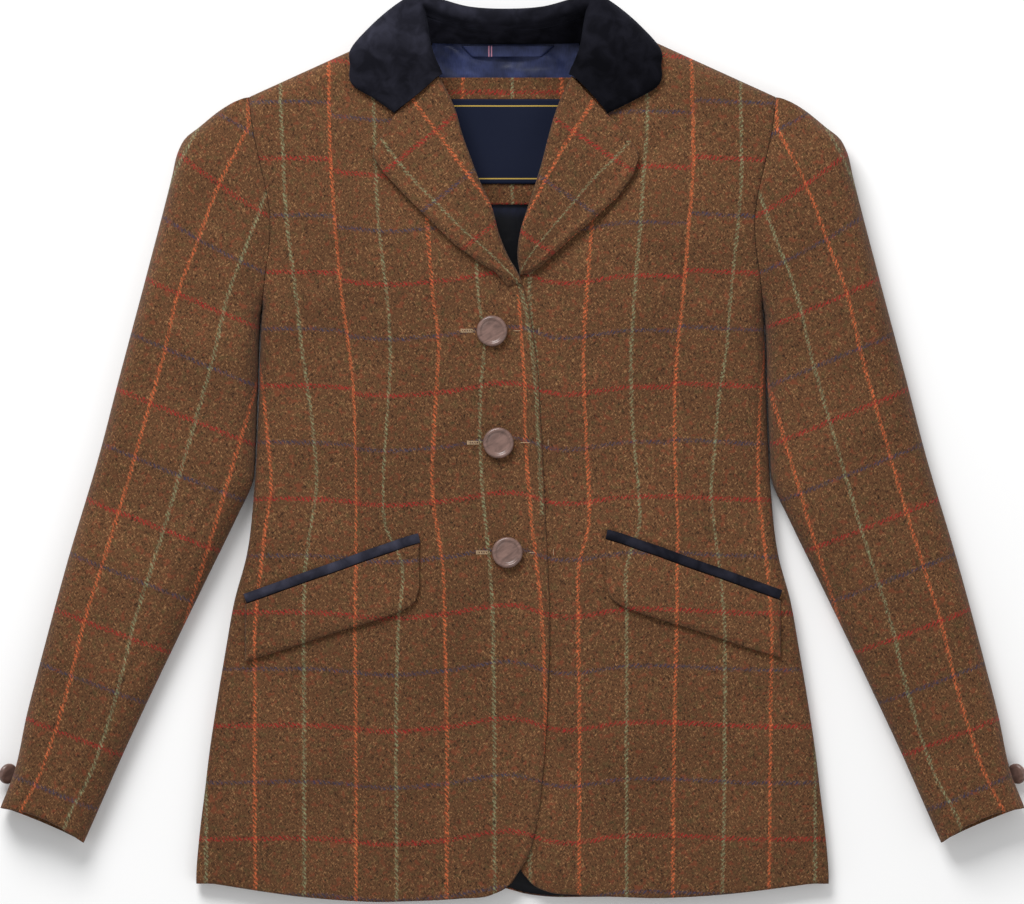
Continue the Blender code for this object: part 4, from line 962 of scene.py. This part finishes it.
class JacketTrim(bpy.types.PropertyGroup):
    """Colours of the velvet, lining, label, thread and buttons."""

    velvet: colour("Velvet", "Collar and welts", "#0e0e13")
    satin: colour("Satin", "Back lining and hanger loop", "#2c3354")
    loop_stripe: colour("Loop stripe", "Thin stripes woven into the loop", "#c98aa0")
    label: colour("Label", "Ground of the neck label", "#0f1528")
    border: colour("Label border", "Woven line round the label", "#c9a94f")
    horn: colour("Button", "Horn-effect plastic", "#715850")
    thread: colour("Thread", "Buttonholes and bar tacks", "#b79a78")


# ---- meshes ----


def panel_mesh(name, points, check=None, flip=False):
    """A grid of points as quads, its columns reversed where it would face inwards."""
    if flip:
        points = points[:, ::-1]
        check = None if check is None else check[:, ::-1]
    rows, columns = points.shape[:2]
    at = np.arange(rows * columns).reshape(rows, columns)
    quads = np.stack([at[:-1, :-1], at[:-1, 1:], at[1:, 1:], at[1:, :-1]], axis=-1).reshape(-1, 4)
    mesh = bpy.data.meshes.new(name)
    mesh.from_pydata((points - (0, CENTRE_Y, 0)).reshape(-1, 3).tolist(), [], quads.tolist())
    if check is not None:
        cloth = mesh.uv_layers.new(name="cloth")
        cloth.data.foreach_set("uv", check.reshape(-1, 2)[quads.reshape(-1)].reshape(-1))
    mesh.shade_smooth()
    return mesh


def lathe(profile, steps=64):
    """A profile of radius and height carried round Z, as a grid whose last column is its first."""
    angle = np.linspace(0, 2 * np.pi, steps + 1)[None, :, None]
    radius, height = profile[:, :1, None], profile[:, 1:, None]
    return np.concatenate([radius * np.cos(angle), radius * np.sin(angle), height + 0 * angle], -1)


def closed_mesh(name, points, matrix):
    """A grid whose ends meet: turned into place, merged where points coincide, faces outwards."""
    mesh = panel_mesh(name, points + (0, CENTRE_Y, 0))
    mesh.transform(matrix)
    shape = bmesh.new()
    shape.from_mesh(mesh)
    bmesh.ops.remove_doubles(shape, verts=shape.verts, dist=0.000005)
    bmesh.ops.recalc_face_normals(shape, faces=shape.faces)
    shape.to_mesh(mesh)
    shape.free()
    mesh.shade_smooth()
    return mesh


# ---- materials ----


def set_inputs(tree, node, inputs):
    """Inputs by name or number. Each is a value, a socket, or a node, which stands for its first
    result."""
    for key, value in dict(inputs).items():
        if isinstance(value, bpy.types.Node):
            value = next(socket for socket in value.outputs if socket.enabled)
        if isinstance(value, bpy.types.NodeSocket):
            tree.links.new(value, node.inputs[key])
        else:
            node.inputs[key].default_value = value


def add_node(tree, kind, inputs=(), **settings):
    """A node of a kind, such as Math, with its settings and then its inputs."""
    node = tree.nodes.new("ShaderNode" + kind)
    for name, value in settings.items():
        setattr(node, name, value)
    set_inputs(tree, node, inputs)
    return node


def new_material(name):
    """A material with its tree and shader."""
    material = bpy.data.materials.new(name)
    material.use_nodes = True
    tree = material.node_tree
    return material, tree, tree.nodes["Principled BSDF"]


def windowpane_tweed(look):
    """Woollen tweed, woven in a twill from flecked yarn, with thicker plied yarns in its check: it
    is matt and speckled along the twill, and its stripes look like fine broken cords."""
    material, tree, shader = new_material("windowpane_wool_tweed")
    place = add_node(tree, "TexCoord").outputs["Object"]
    ink = {name: (*getattr(look, name), 1) for name in
           ("ground", "dark", "pale", "rust", "olive", "orange", "green", "red", "navy")}

    # Yarn slubs 2.1 mm long and 0.9 mm wide, which lean both ways as the twill's floats do.
    # A real yarn is 0.6 mm, too fine to show from here.
    slubs = []
    for lean, size in ((-1.05, (0.0021, 0.0009, 0.0015)), (0.85, (0.0019, 0.0010, 0.0015))):
        leaning = add_node(
            tree, "Mapping", {0: place, "Rotation": (0, 0, lean), "Scale": size},
            vector_type="TEXTURE")
        slubs.append(add_node(tree, "TexNoise", {
            0: leaning, "Scale": 1.0, "Detail": 2.0, "Roughness": 0.65}))
    weave = add_node(tree, "Math", {0: slubs[0], 1: slubs[1]}, operation="MAXIMUM")
    ramp = add_node(tree, "ValToRGB", {0: weave})
    steps = ramp.color_ramp.elements
    steps[0].position, steps[0].color = 0.42, ink["dark"]
    steps[1].position, steps[1].color = 0.72, ink["pale"]
    for position in (0.50, 0.60):
        step = steps.new(position)
        step.color = ink["ground"]
    # Dyed slubs lie scattered in patches of about 4 mm, and the whole shade drifts over 60 mm
    dyed = add_node(tree, "TexNoise", {0: place, "Scale": 1 / 0.0038, "Detail": 3.0})
    rusty = add_node(tree, "MapRange", {0: dyed, 1: 0.42, 2: 0.34, 3: 0.0, 4: 0.55})
    mossy = add_node(tree, "MapRange", {0: dyed, 1: 0.58, 2: 0.66, 3: 0.0, 4: 0.30})
    base = add_node(tree, "Mix", {0: rusty, 6: ramp, 7: ink["rust"]}, data_type="RGBA")
    base = add_node(tree, "Mix", {0: mossy, 6: base, 7: ink["olive"]}, data_type="RGBA")
    drifting = add_node(tree, "TexNoise", {0: place, "Scale": 1 / 0.060, "Detail": 2.0})
    shade = add_node(tree, "MapRange", {0: drifting, 1: 0.3, 2: 0.7, 3: 0.88, 4: 1.10})
    base = add_node(tree, "VectorMath", {0: base, "Scale": shade}, operation="SCALE")

    # The check: signed distances in metres across the warp and along the weft. The plies of a
    # stripe twist once in 3 mm, so its shade runs in slanting ticks, and its edge wanders.
    cloth = add_node(tree, "UVMap", uv_map="cloth")
    parts = add_node(tree, "SeparateXYZ", {0: cloth})
    wander = add_node(tree, "MapRange", {
        0: add_node(tree, "TexNoise", {0: place, "Scale": 1 / 0.0016, "Detail": 1.0}),
        1: 0.3, 2: 0.7, 3: -0.0007, 4: 0.0007})
    worn = add_node(tree, "MapRange", {0: slubs[0], 1: 0.42, 2: 0.58, 3: 0.22, 4: 1.0})
    broken = add_node(tree, "MapRange", {0: slubs[1], 1: 0.42, 2: 0.54, 3: 0.10, 4: 1.0})
    for name, axis, step, first, half_width, share, gaps in (
        ("navy", 1, look.weft_step, 0.0, 0.0015, 0.80, broken),
        ("red", 1, look.weft_step, look.weft_step, 0.0018, 0.88, broken),
        ("green", 0, look.warp_step, look.warp_step, 0.0014, 0.70, worn),
        ("orange", 0, look.warp_step, 0.0, 0.0014, 0.84, worn),
    ):
        off = add_node(tree, "Math", {
            0: add_node(tree, "Math", {
                0: parts.outputs[axis], 1: first}, operation="SUBTRACT"),
            1: step, 2: -step}, operation="WRAP")
        off = add_node(tree, "Math", {0: off, 1: wander}, operation="ADD")
        slant = add_node(tree, "Math", {
            0: off, 1: 1.1, 2: parts.outputs[1 - axis]}, operation="MULTIPLY_ADD")
        turn_of_ply = add_node(tree, "Math", {
            0: add_node(tree, "Math", {
                0: slant, 1: 2 * np.pi / 0.0030}, operation="MULTIPLY")}, operation="SINE")
        tick = add_node(tree, "MapRange", {
            0: turn_of_ply, 1: -0.6, 2: 0.7, 3: 0.18, 4: 1.0})
        line = add_node(tree, "MapRange", {
            0: add_node(tree, "Math", {0: off}, operation="ABSOLUTE"),
            1: half_width * 1.15, 2: half_width * 0.45, 3: 0.0, 4: share},
            interpolation_type="SMOOTHSTEP")
        line = add_node(tree, "Math", {0: line, 1: tick}, operation="MULTIPLY")
        line = add_node(tree, "Math", {0: line, 1: gaps}, operation="MULTIPLY")
        base = add_node(tree, "Mix", {0: line, 6: base, 7: ink[name]}, data_type="RGBA")
    yarn = add_node(tree, "Bump", {"Strength": 0.6, "Distance": 0.0004, "Height": weave})
    set_inputs(tree, shader, {
        "Base Color": base, "Normal": yarn, "Roughness": 0.95, "Specular IOR Level": 0.12,
        "Sheen Weight": 0.05, "Sheen Roughness": 0.6})
    return material


def cotton_velvet(look):
    """Short-pile cotton velvet, woven and cut: nearly black face on, with a soft bloom that shifts
    where the pile was brushed another way. Painted light makes the wearer's right side and the
    back of the neck lighter."""
    material, tree, shader = new_material("cut_pile_velvet")
    place = add_node(tree, "TexCoord").outputs["Object"]
    # Brushed patches of about 11 mm
    brushed = add_node(tree, "TexNoise", {
        0: place, "Scale": 1 / 0.011, "Detail": 3.0, "Distortion": 0.5})
    shade = add_node(tree, "MapRange", {0: brushed, 1: 0.38, 2: 0.68, 3: 0.75, 4: 1.7})
    x, y, _ = add_node(tree, "SeparateXYZ", {0: place}).outputs
    # Painted light: the wearer's right side is made up to 1.9 times lighter and the left side a little
    # darker, as the light falls
    lean = add_node(tree, "MapRange", {
        0: x, 1: -0.06, 2: 0.03, 3: 1.9, 4: 0.85}, interpolation_type="SMOOTHSTEP")
    # The velvet is made lighter towards the bottom: three times as light at the welts, below the
    # collar
    pressed = add_node(tree, "MapRange", {0: y, 1: 0.0, 2: 0.1, 3: 3.0, 4: 1.0})
    # Painted sheen: the back of the collar, at the neck, is made up to 1.8 times lighter
    painted_neck_sheen = add_node(tree, "MapRange", {0: y, 1: 0.250, 2: 0.266, 3: 1.0, 4: 1.8})
    for factor in (lean, pressed, painted_neck_sheen):
        shade = add_node(tree, "Math", {0: shade, 1: factor}, operation="MULTIPLY")
    base = add_node(tree, "VectorMath", {0: look.velvet, "Scale": shade}, operation="SCALE")
    # Tufts of pile about 0.5 mm across
    pile = add_node(tree, "TexNoise", {0: place, "Scale": 1 / 0.0005, "Detail": 2.0})
    tufts = add_node(tree, "Bump", {"Strength": 0.35, "Distance": 0.0002, "Height": pile})
    set_inputs(tree, shader, {
        "Base Color": base, "Normal": tufts, "Roughness": 0.95, "Specular IOR Level": 0.04,
        "Sheen Weight": 0.045, "Sheen Roughness": 0.35, "Sheen Tint": (*linear("#a8b0cc"), 1)})
    return material


def lining_satin(look, stripes=False):
    """Polyester satin lining, woven with long floats: smooth, with a soft gleam along its folds."""
    name = "satin_loop_tape" if stripes else "polyester_satin_lining"
    material, tree, shader = new_material(name)
    place = add_node(tree, "TexCoord").outputs["Object"]
    # Floats 4 mm long and 0.5 mm wide, and creases that catch the light about 14 mm apart
    long_ways = add_node(
        tree, "Mapping", {0: place, "Scale": (0.0005, 0.0040, 0.0010)},
        vector_type="TEXTURE")
    floats = add_node(tree, "TexNoise", {0: long_ways, "Scale": 1.0, "Detail": 1.0})
    tone = add_node(tree, "MapRange", {0: floats, 1: 0.3, 2: 0.7, 3: 0.85, 4: 1.15})
    crumple = add_node(tree, "TexNoise", {
        0: place, "Scale": 1 / 0.014, "Detail": 2.0, "Distortion": 0.3})
    gleam = add_node(tree, "MapRange", {0: crumple, 1: 0.38, 2: 0.64, 3: 0.75, 4: 1.50})
    # The lining is deepest in shade below the facing, where the closed fronts keep the light out
    x, y, _ = add_node(tree, "SeparateXYZ", {0: place}).outputs
    shaded = add_node(tree, "MapRange", {
        0: y, 1: 0.148, 2: 0.174, 3: 0.03, 4: 1.0}, interpolation_type="SMOOTHSTEP")
    for factor in (gleam, shaded):
        tone = add_node(tree, "Math", {0: tone, 1: factor}, operation="MULTIPLY")
    base = add_node(tree, "VectorMath", {0: look.satin, "Scale": tone}, operation="SCALE")
    for at in LOOP_STRIPES_X if stripes else ():
        off = add_node(tree, "Math", {
            0: add_node(tree, "Math", {0: x, 1: at}, operation="SUBTRACT")}, operation="ABSOLUTE")
        line = add_node(tree, "MapRange", {0: off, 1: 0.0005, 2: 0.0002})
        base = add_node(tree, "Mix", {
            0: line, 6: base, 7: (*look.loop_stripe, 1)}, data_type="RGBA")
    folds = add_node(tree, "Bump", {"Strength": 0.5, "Distance": 0.0010, "Height": crumple})
    set_inputs(tree, shader, {
        "Base Color": base, "Normal": folds, "Roughness": 0.38, "Specular IOR Level": 0.22})
    return material


def woven_label(look):
    """Damask-woven label: dense dark threads with a fine gilt line woven round it."""
    material, tree, shader = new_material("damask_woven_label")
    place = add_node(tree, "TexCoord").outputs["Object"]
    middle = (LABEL_CENTRE[0], LABEL_CENTRE[1] - CENTRE_Y - LABEL_BORDER_DROP, 0)
    centred = add_node(tree, "Mapping", {0: place, "Location": middle}, vector_type="TEXTURE")
    parts = add_node(tree, "SeparateXYZ", {0: centred})
    inwards = [
        add_node(tree, "Math", {
            0: add_node(tree, "Math", {0: parts.outputs[axis]}, operation="ABSOLUTE"),
            1: half}, operation="SUBTRACT")
        for axis, half in enumerate(LABEL_BORDER_HALF)
    ]
    border = add_node(tree, "Math", {0: inwards[0], 1: inwards[1]}, operation="MAXIMUM")
    off = add_node(tree, "Math", {0: border}, operation="ABSOLUTE")
    line = add_node(tree, "MapRange", {0: off, 1: 0.0005, 2: 0.0002, 4: 0.85})
    # Weft ribs 0.7 mm apart
    wave = add_node(
        tree, "TexWave", {0: centred, "Scale": 1 / 0.0007 / BANDS_A_UNIT}, bands_direction="Y")
    ribs = wave.outputs[1]
    ribbed = add_node(tree, "MapRange", {0: ribs, 3: 0.85, 4: 1.25})
    base = add_node(tree, "VectorMath", {0: look.label, "Scale": ribbed}, operation="SCALE")
    base = add_node(tree, "Mix", {0: line, 6: base, 7: (*look.border, 1)}, data_type="RGBA")
    ribbing = add_node(tree, "Bump", {"Strength": 0.2, "Distance": 0.0001, "Height": ribs})
    set_inputs(tree, shader, {
        "Base Color": base, "Normal": ribbing, "Roughness": 0.7, "Specular IOR Level": 0.12})
    return material


def horn_plastic(look):
    """Polyester turned and polished to look like horn: cloudy brown streaks under a soft gloss."""
    material, tree, shader = new_material("polished_horn_effect_polyester")
    place = add_node(tree, "TexCoord").outputs["Object"]
    # Streaks 7 mm long and 2.5 mm wide
    grain = add_node(
        tree, "Mapping",
        {0: place, "Rotation": (0, 0, 0.5), "Scale": (0.0070, 0.0025, 0.0040)},
        vector_type="TEXTURE")
    streaks = add_node(tree, "TexNoise", {
        0: grain, "Scale": 1.0, "Detail": 3.0, "Distortion": 0.8})
    shade = add_node(tree, "MapRange", {0: streaks, 1: 0.30, 2: 0.70, 3: 0.70, 4: 1.35})
    base = add_node(tree, "VectorMath", {0: look.horn, "Scale": shade}, operation="SCALE")
    set_inputs(tree, shader, {"Base Color": base, "Roughness": 0.30})
    return material


def sewing_thread(look):
    """Spun polyester buttonhole thread: matt, with a faint twist across each stitch."""
    material, tree, shader = new_material("spun_buttonhole_thread")
    place = add_node(tree, "TexCoord").outputs["Object"]
    fuzz = add_node(tree, "TexNoise", {0: place, "Scale": 1 / 0.0006, "Detail": 1.0})
    shade = add_node(tree, "MapRange", {0: fuzz, 1: 0.35, 2: 0.65, 3: 0.60, 4: 1.0})
    base = add_node(tree, "VectorMath", {0: look.thread, "Scale": shade}, operation="SCALE")
    set_inputs(tree, shader, {"Base Color": base, "Roughness": 0.8})
    return material


FINISHES = {}  # the materials made so far


def finish_of(name):
    """A material by its finish's name, made once from the panel's colours."""
    tweed, trim = bpy.context.scene.jacket_tweed, bpy.context.scene.jacket_trim
    makers = {
        "tweed": lambda: windowpane_tweed(tweed),
        "velvet": lambda: cotton_velvet(trim),
        "satin": lambda: lining_satin(trim),
        "loop": lambda: lining_satin(trim, stripes=True),
        "label": lambda: woven_label(trim),
        "horn": lambda: horn_plastic(trim),
        "thread": lambda: sewing_thread(trim),
    }
    if name not in FINISHES:
        FINISHES[name] = makers[name]()
    return FINISHES[name]


# ---- pieces ----


def add_piece(name, mesh, finish, *nodes):
    """An object at the origin with its place in its mesh, riding on the jacket's one body."""
    obj = bpy.data.objects.new(name, mesh)
    bpy.context.scene.collection.objects.link(obj)
    mesh.materials.append(finish_of(finish))
    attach(obj, "root")
    if nodes:
        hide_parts(*nodes)
    return obj


def add_cloth(name, points, wall, finish, node, check=None, flip=False, even=True):
    """A panel with its wall. A wall that is even round its corners would run far out at a point
    as sharp as the sleeves'."""
    obj = add_piece(name, panel_mesh(name, points, check, flip), finish, node)
    cloth = obj.modifiers.new("Wall", "SOLIDIFY")
    cloth.thickness = wall
    cloth.offset = -1
    cloth.use_even_offset = even


# ---- operators, one for each piece or group of like pieces ----


class JACKET_OT_back(bpy.types.Operator):
    """Back panel, whose outer face lies on the surface"""

    bl_idname = "jacket.back"
    bl_label = "Back"

    def execute(self, context):
        points = back_points()
        check = straight_check(points)
        add_cloth("back_panel", points, TWEED, "tweed", "back", check, flip=True)
        return {"FINISHED"}


class JACKET_OT_fronts(bpy.types.Operator):
    """Both front panels; the wearer's right one closes over the left one"""

    bl_idname = "jacket.fronts"
    bl_label = "Fronts"

    def execute(self, context):
        for which, word in SIDES:
            points = front_points(which)
            add_cloth(
                f"front_panel_{word}", points, TWEED, "tweed", f"front_{word}",
                front_check(points, which), flip=which == RIGHT,
            )
        return {"FINISHED"}


class JACKET_OT_lapels(bpy.types.Operator):
    """Notched lapels, folded out from the fronts along the roll line"""

    bl_idname = "jacket.lapels"
    bl_label = "Lapels"

    def execute(self, context):
        for which, word in SIDES:
            points = lapel_points(which)
            add_cloth(
                f"lapel_facing_{word}", points, LAPEL, "tweed", f"lapel_{word}",
                lapel_check(points, which), flip=which == RIGHT,
            )
        return {"FINISHED"}


class JACKET_OT_collar(bpy.types.Operator):
    """Velvet collar: the stand round the neck and the fall that turns down over it"""

    bl_idname = "jacket.collar"
    bl_label = "Collar"

    def execute(self, context):
        stand, fall = collar_sections()
        add_cloth("collar_stand_velvet", stand, VELVET, "velvet", "collar_stand")
        add_cloth("collar_fall_velvet", fall, VELVET, "velvet", "collar_fall")
        return {"FINISHED"}


class JACKET_OT_sleeves(bpy.types.Operator):
    """Two-piece sleeves, pressed flat with a crease towards the cuff"""

    bl_idname = "jacket.sleeves"
    bl_label = "Sleeves"

    def execute(self, context):
        for which, word in SIDES:
            for upper, layer in ((True, "top_sleeve"), (False, "under_sleeve")):
                points = sleeve_points(which, upper)
                add_cloth(
                    f"{layer}_panel_{word}", points, TWEED, "tweed", f"{layer}_{word}",
                    sleeve_check(points, which),
                    flip=(which == RIGHT) == upper, even=False,
                )
        return {"FINISHED"}


class JACKET_OT_pockets(bpy.types.Operator):
    """Slanted flap pockets with a narrow velvet welt"""

    bl_idname = "jacket.pockets"
    bl_label = "Pockets"

    def execute(self, context):
        for which, word in SIDES:
            points = flap_points(which)
            add_cloth(
                f"flap_{word}", points, TWEED, "tweed", f"pocket_flap_{word}",
                front_check(points, which), flip=which == RIGHT,
            )
            add_cloth(
                f"welt_{word}", welt_points(which), WELT_WALL, "velvet", f"pocket_welt_{word}",
                flip=which == RIGHT,
            )
        return {"FINISHED"}


class JACKET_OT_neck(bpy.types.Operator):
    """Inside of the back's neck: lining, facing, bare label and hanger loop"""

    bl_idname = "jacket.neck"
    bl_label = "Neck"

    def execute(self, context):
        lining_top = TWEED + GAP + LINING
        facing_top = lining_top + GAP + TWEED
        add_cloth("back_lining", lining_points(), LINING, "satin", "lining_back")
        facing_x = [(NECK_AXIS_X - half, NECK_AXIS_X + half) for half in FACING_HALF]
        points = flat_points(*facing_x, *FACING_Y, facing_top, 80, 60)
        check = straight_check(points, FACING_WARP_X, FACING_WEFT_Y + WEFT_STEP)
        add_cloth(
            "neck_facing", points, TWEED, "tweed", "back_neck_facing", check)
        label_x = [LABEL_CENTRE[0] - LABEL_SIZE[0] / 2, LABEL_CENTRE[0] + LABEL_SIZE[0] / 2]
        label_y = [LABEL_CENTRE[1] + LABEL_SIZE[1] / 2, LABEL_CENTRE[1] - LABEL_SIZE[1] / 2]
        points = flat_points(label_x, label_x, *label_y, facing_top + GAP + LABEL, 60, 48)
        add_cloth("label_patch", points, LABEL, "label", "neck_label")
        points = flat_points(LOOP_TOP_X, LOOP_LOW_X, *LOOP_Y, lining_top + GAP + LINING, 61, 13)
        points[..., 2] += LOOP_RISE * np.sin(np.linspace(0, np.pi, 61)) ** 0.5
        add_cloth("loop_tape", points, LINING, "loop", "hanger_loop")
        return {"FINISHED"}


BUTTON = table("across up", [
    (0, 0.72), (0.30, 0.715), (0.60, 0.70), (0.68, 0.74), (0.74, 0.88), (0.79, 0.97), (0.84, 1.0),
    (0.89, 0.985), (0.94, 0.92), (0.98, 0.80), (1.0, 0.64), (1.0, 0.46), (0.98, 0.30),
    (0.93, 0.12), (0.86, 0.0), (0.45, 0), (0, 0),
])


def button_mesh(name, radius, depth, centre, turned):
    """The profile carried round Z, then turned and moved to where the button is sewn."""
    profile = np.stack([BUTTON["across"] * radius, BUTTON["up"] * depth], axis=-1)
    place = Matrix.Translation(Vector(centre) - Vector((0, CENTRE_Y, 0)))
    return closed_mesh(name, lathe(profile), place @ Euler(turned).to_matrix().to_4x4())


class JACKET_OT_buttons(bpy.types.Operator):
    """Plain dished buttons down the front and one on each cuff"""

    bl_idname = "jacket.buttons"
    bl_label = "Buttons"

    def execute(self, context):
        for name, (x, y) in FRONT_BUTTONS.items():
            low, high = front_z(RIGHT, -x, y + FRONT_BUTTON_RADIUS * np.array([-1, 1]), False)
            centre = (x, y, float(low + high) / 2 + REST)
            lean = (float(np.arctan2(high - low, 2 * FRONT_BUTTON_RADIUS)), 0, 0)
            mesh = button_mesh(name, FRONT_BUTTON_RADIUS, FRONT_BUTTON_DEPTH, centre, lean)
            add_piece(f"{name}_turned", mesh, "horn", name)
        for which, word in SIDES:
            name = f"cuff_button_{word}"
            centre = (which * CUFF_BUTTON_AT[0], *CUFF_BUTTON_AT[1:])
            turned = (0, which * (np.pi - CUFF_BUTTON_TILT), which * CUFF_BUTTON_TURN)
            mesh = button_mesh(name, CUFF_BUTTON_RADIUS, CUFF_BUTTON_DEPTH, centre, turned)
            add_piece(f"{name}_turned", mesh, "horn", name)
        return {"FINISHED"}


def thread_points(path, radius, steps=8):
    """A thread: a circle carried along a path, its plane upright, drawn in to a point at the ends."""
    path = np.array(path, float)
    along = np.gradient(path, axis=0)
    side_ways = np.cross(along, (0, 0, 1))
    side_ways = side_ways / np.linalg.norm(side_ways, axis=-1, keepdims=True)
    angle = np.linspace(0, 2 * np.pi, steps + 1)[None, :, None]
    size = radius * np.sqrt(np.clip(np.sin(np.linspace(0, np.pi, len(path))) * 2.5, 0, 1))
    size = size[:, None, None]
    return path[:, None] + size * (side_ways[:, None] * np.cos(angle) + (0, 0, 1) * np.sin(angle))


def stitch_mesh(name, paths, radius):
    """Threads as one mesh; each path is laid just proud of the front that it is sewn to."""
    joined = bmesh.new()
    for which, ends, count in paths:
        x, y = np.linspace(ends[0], ends[1], count).T
        z = front_z(which, which * x, y) + radius * 0.6
        mesh = closed_mesh(name, thread_points(np.stack([x, y, z], -1), radius), Matrix())
        mesh.transform(Matrix.Translation((0, -CENTRE_Y, 0)))
        joined.from_mesh(mesh)
        bpy.data.meshes.remove(mesh)
    mesh = bpy.data.meshes.new(name)
    joined.to_mesh(mesh)
    joined.free()
    mesh.shade_smooth()
    return mesh


class JACKET_OT_sewing(bpy.types.Operator):
    """Buttonholes with their bar tacks, and the stitches that hold the fronts together"""

    bl_idname = "jacket.sewing"
    bl_label = "Sewing"

    def execute(self, context):
        for name, (x, y) in FRONT_BUTTONS.items():
            low, high = x - HOLE_OUT[1], x - HOLE_OUT[0]
            lips = [(RIGHT, ((low, y + up), (high, y + up)), 9) for up in (-HOLE_GAP, HOLE_GAP)]
            bar = [(RIGHT, ((low + out, y - HOLE_BAR), (low + out, y + HOLE_BAR)), 7)
                   for out in (0, BAR_STEP)]
            purls = [(RIGHT, ((at, y - HOLE_GAP), (at + PURL_LEAN, y + HOLE_GAP)), 5)
                     for at in np.linspace(low + PURLS_FROM, high, 7)]
            edge = float(overlap(np.array(y)))
            tack_x = edge + TACK_BEYOND
            tack = [
                (RIGHT, ((x + TACK_FROM, y), (edge - TACK_SHORT, y)), 7),
                (LEFT, ((tack_x, y - TACK_HALF), (tack_x, y + TACK_HALF)), 7),
            ]
            for kind, paths, radius in (
                ("hole", [*lips, *bar, *purls], HOLE_THREAD), ("tack", tack, TACK_THREAD),
            ):
                mesh = stitch_mesh(f"{name}_{kind}", paths, radius)
                add_piece(f"{name}_{kind}_stitches", mesh, "thread")
        return {"FINISHED"}


FLOOR_HALF, FLOOR_DROP = 3.0, 0.0002
LAMPS = {"key": ((-0.6, 1.6, 1.5), 1.1, 50), "fill": ((1.2, -1.2, 1.8), 1.8, 9)}
LENS, SENSOR = 200, 36  # in millimetres
CAMERA_X = -0.0003


class JACKET_OT_stage(bpy.types.Operator):
    """Pale floor, soft studio light from the upper left, and the camera straight above"""

    bl_idname = "jacket.stage"
    bl_label = "Floor, light and camera"

    def execute(self, context):
        scene = context.scene
        x, y = np.meshgrid([-FLOOR_HALF, FLOOR_HALF], [-FLOOR_HALF, FLOOR_HALF])
        mesh = panel_mesh("floor", np.stack([x, y, 0 * x - FLOOR_DROP], axis=-1))
        floor = bpy.data.objects.new("floor", mesh)
        scene.collection.objects.link(floor)
        # Seamless background paper: pale and quite matt
        material, tree, shader = new_material("matt_white_paper_roll")
        set_inputs(tree, shader, {"Base Color": (*linear("#f4f4f4"), 1), "Roughness": 0.9})
        mesh.materials.append(material)

        world = scene.world or bpy.data.worlds.new("studio")
        scene.world = world
        world.use_nodes = True
        tree = world.node_tree
        set_inputs(tree, tree.nodes["Background"], {"Color": (1, 1, 1, 1), "Strength": 0.50})
        for name, (at, size, power) in LAMPS.items():
            lamp = bpy.data.lights.new(name, "AREA")
            lamp.size, lamp.energy = size, power
            light = bpy.data.objects.new(name, lamp)
            scene.collection.objects.link(light)
            light.location = at
            light.rotation_euler = (-Vector(at)).to_track_quat("-Z", "Y").to_euler()

        lens = bpy.data.cameras.new("above")
        lens.lens, lens.sensor_width = LENS, SENSOR
        lens.clip_end = 20
        camera = bpy.data.objects.new("above", lens)
        scene.collection.objects.link(camera)
        camera.location = (CAMERA_X, -CENTRE_Y, PHOTO_WIDTH * PIXEL * LENS / SENSOR)
        scene.camera = camera
        scene.view_settings.view_transform = "Standard"
        return {"FINISHED"}


class JACKET_PT_pieces(bpy.types.Panel):
    """The jacket's colours and check, and its operators"""

    bl_idname = "JACKET_PT_pieces"
    bl_label = "Show jacket"
    bl_space_type = "VIEW_3D"
    bl_region_type = "UI"
    bl_category = "Jacket"

    def draw(self, context):
        for group in (context.scene.jacket_tweed, context.scene.jacket_trim):
            for name in group.__annotations__:
                self.layout.prop(group, name)
        for operator in OPERATORS:
            self.layout.operator(operator.bl_idname)


GROUPS = {"jacket_tweed": JacketTweed, "jacket_trim": JacketTrim}
OPERATORS = (
    JACKET_OT_stage, JACKET_OT_back, JACKET_OT_neck, JACKET_OT_fronts, JACKET_OT_lapels,
    JACKET_OT_collar, JACKET_OT_sleeves, JACKET_OT_pockets, JACKET_OT_buttons, JACKET_OT_sewing,
)


def register():
    for kind in (*GROUPS.values(), *OPERATORS, JACKET_PT_pieces):
        bpy.utils.register_class(kind)
    for name, kind in GROUPS.items():
        setattr(bpy.types.Scene, name, bpy.props.PointerProperty(type=kind))


def unregister():
    for name in GROUPS:
        delattr(bpy.types.Scene, name)
    for kind in (JACKET_PT_pieces, *OPERATORS[::-1], *GROUPS.values()):
        bpy.utils.unregister_class(kind)


def main():
    register()
    for operator in OPERATORS:
        group, name = operator.bl_idname.split(".")
        getattr(getattr(bpy.ops, group), name)()


if __name__ == "__main__":
    main()
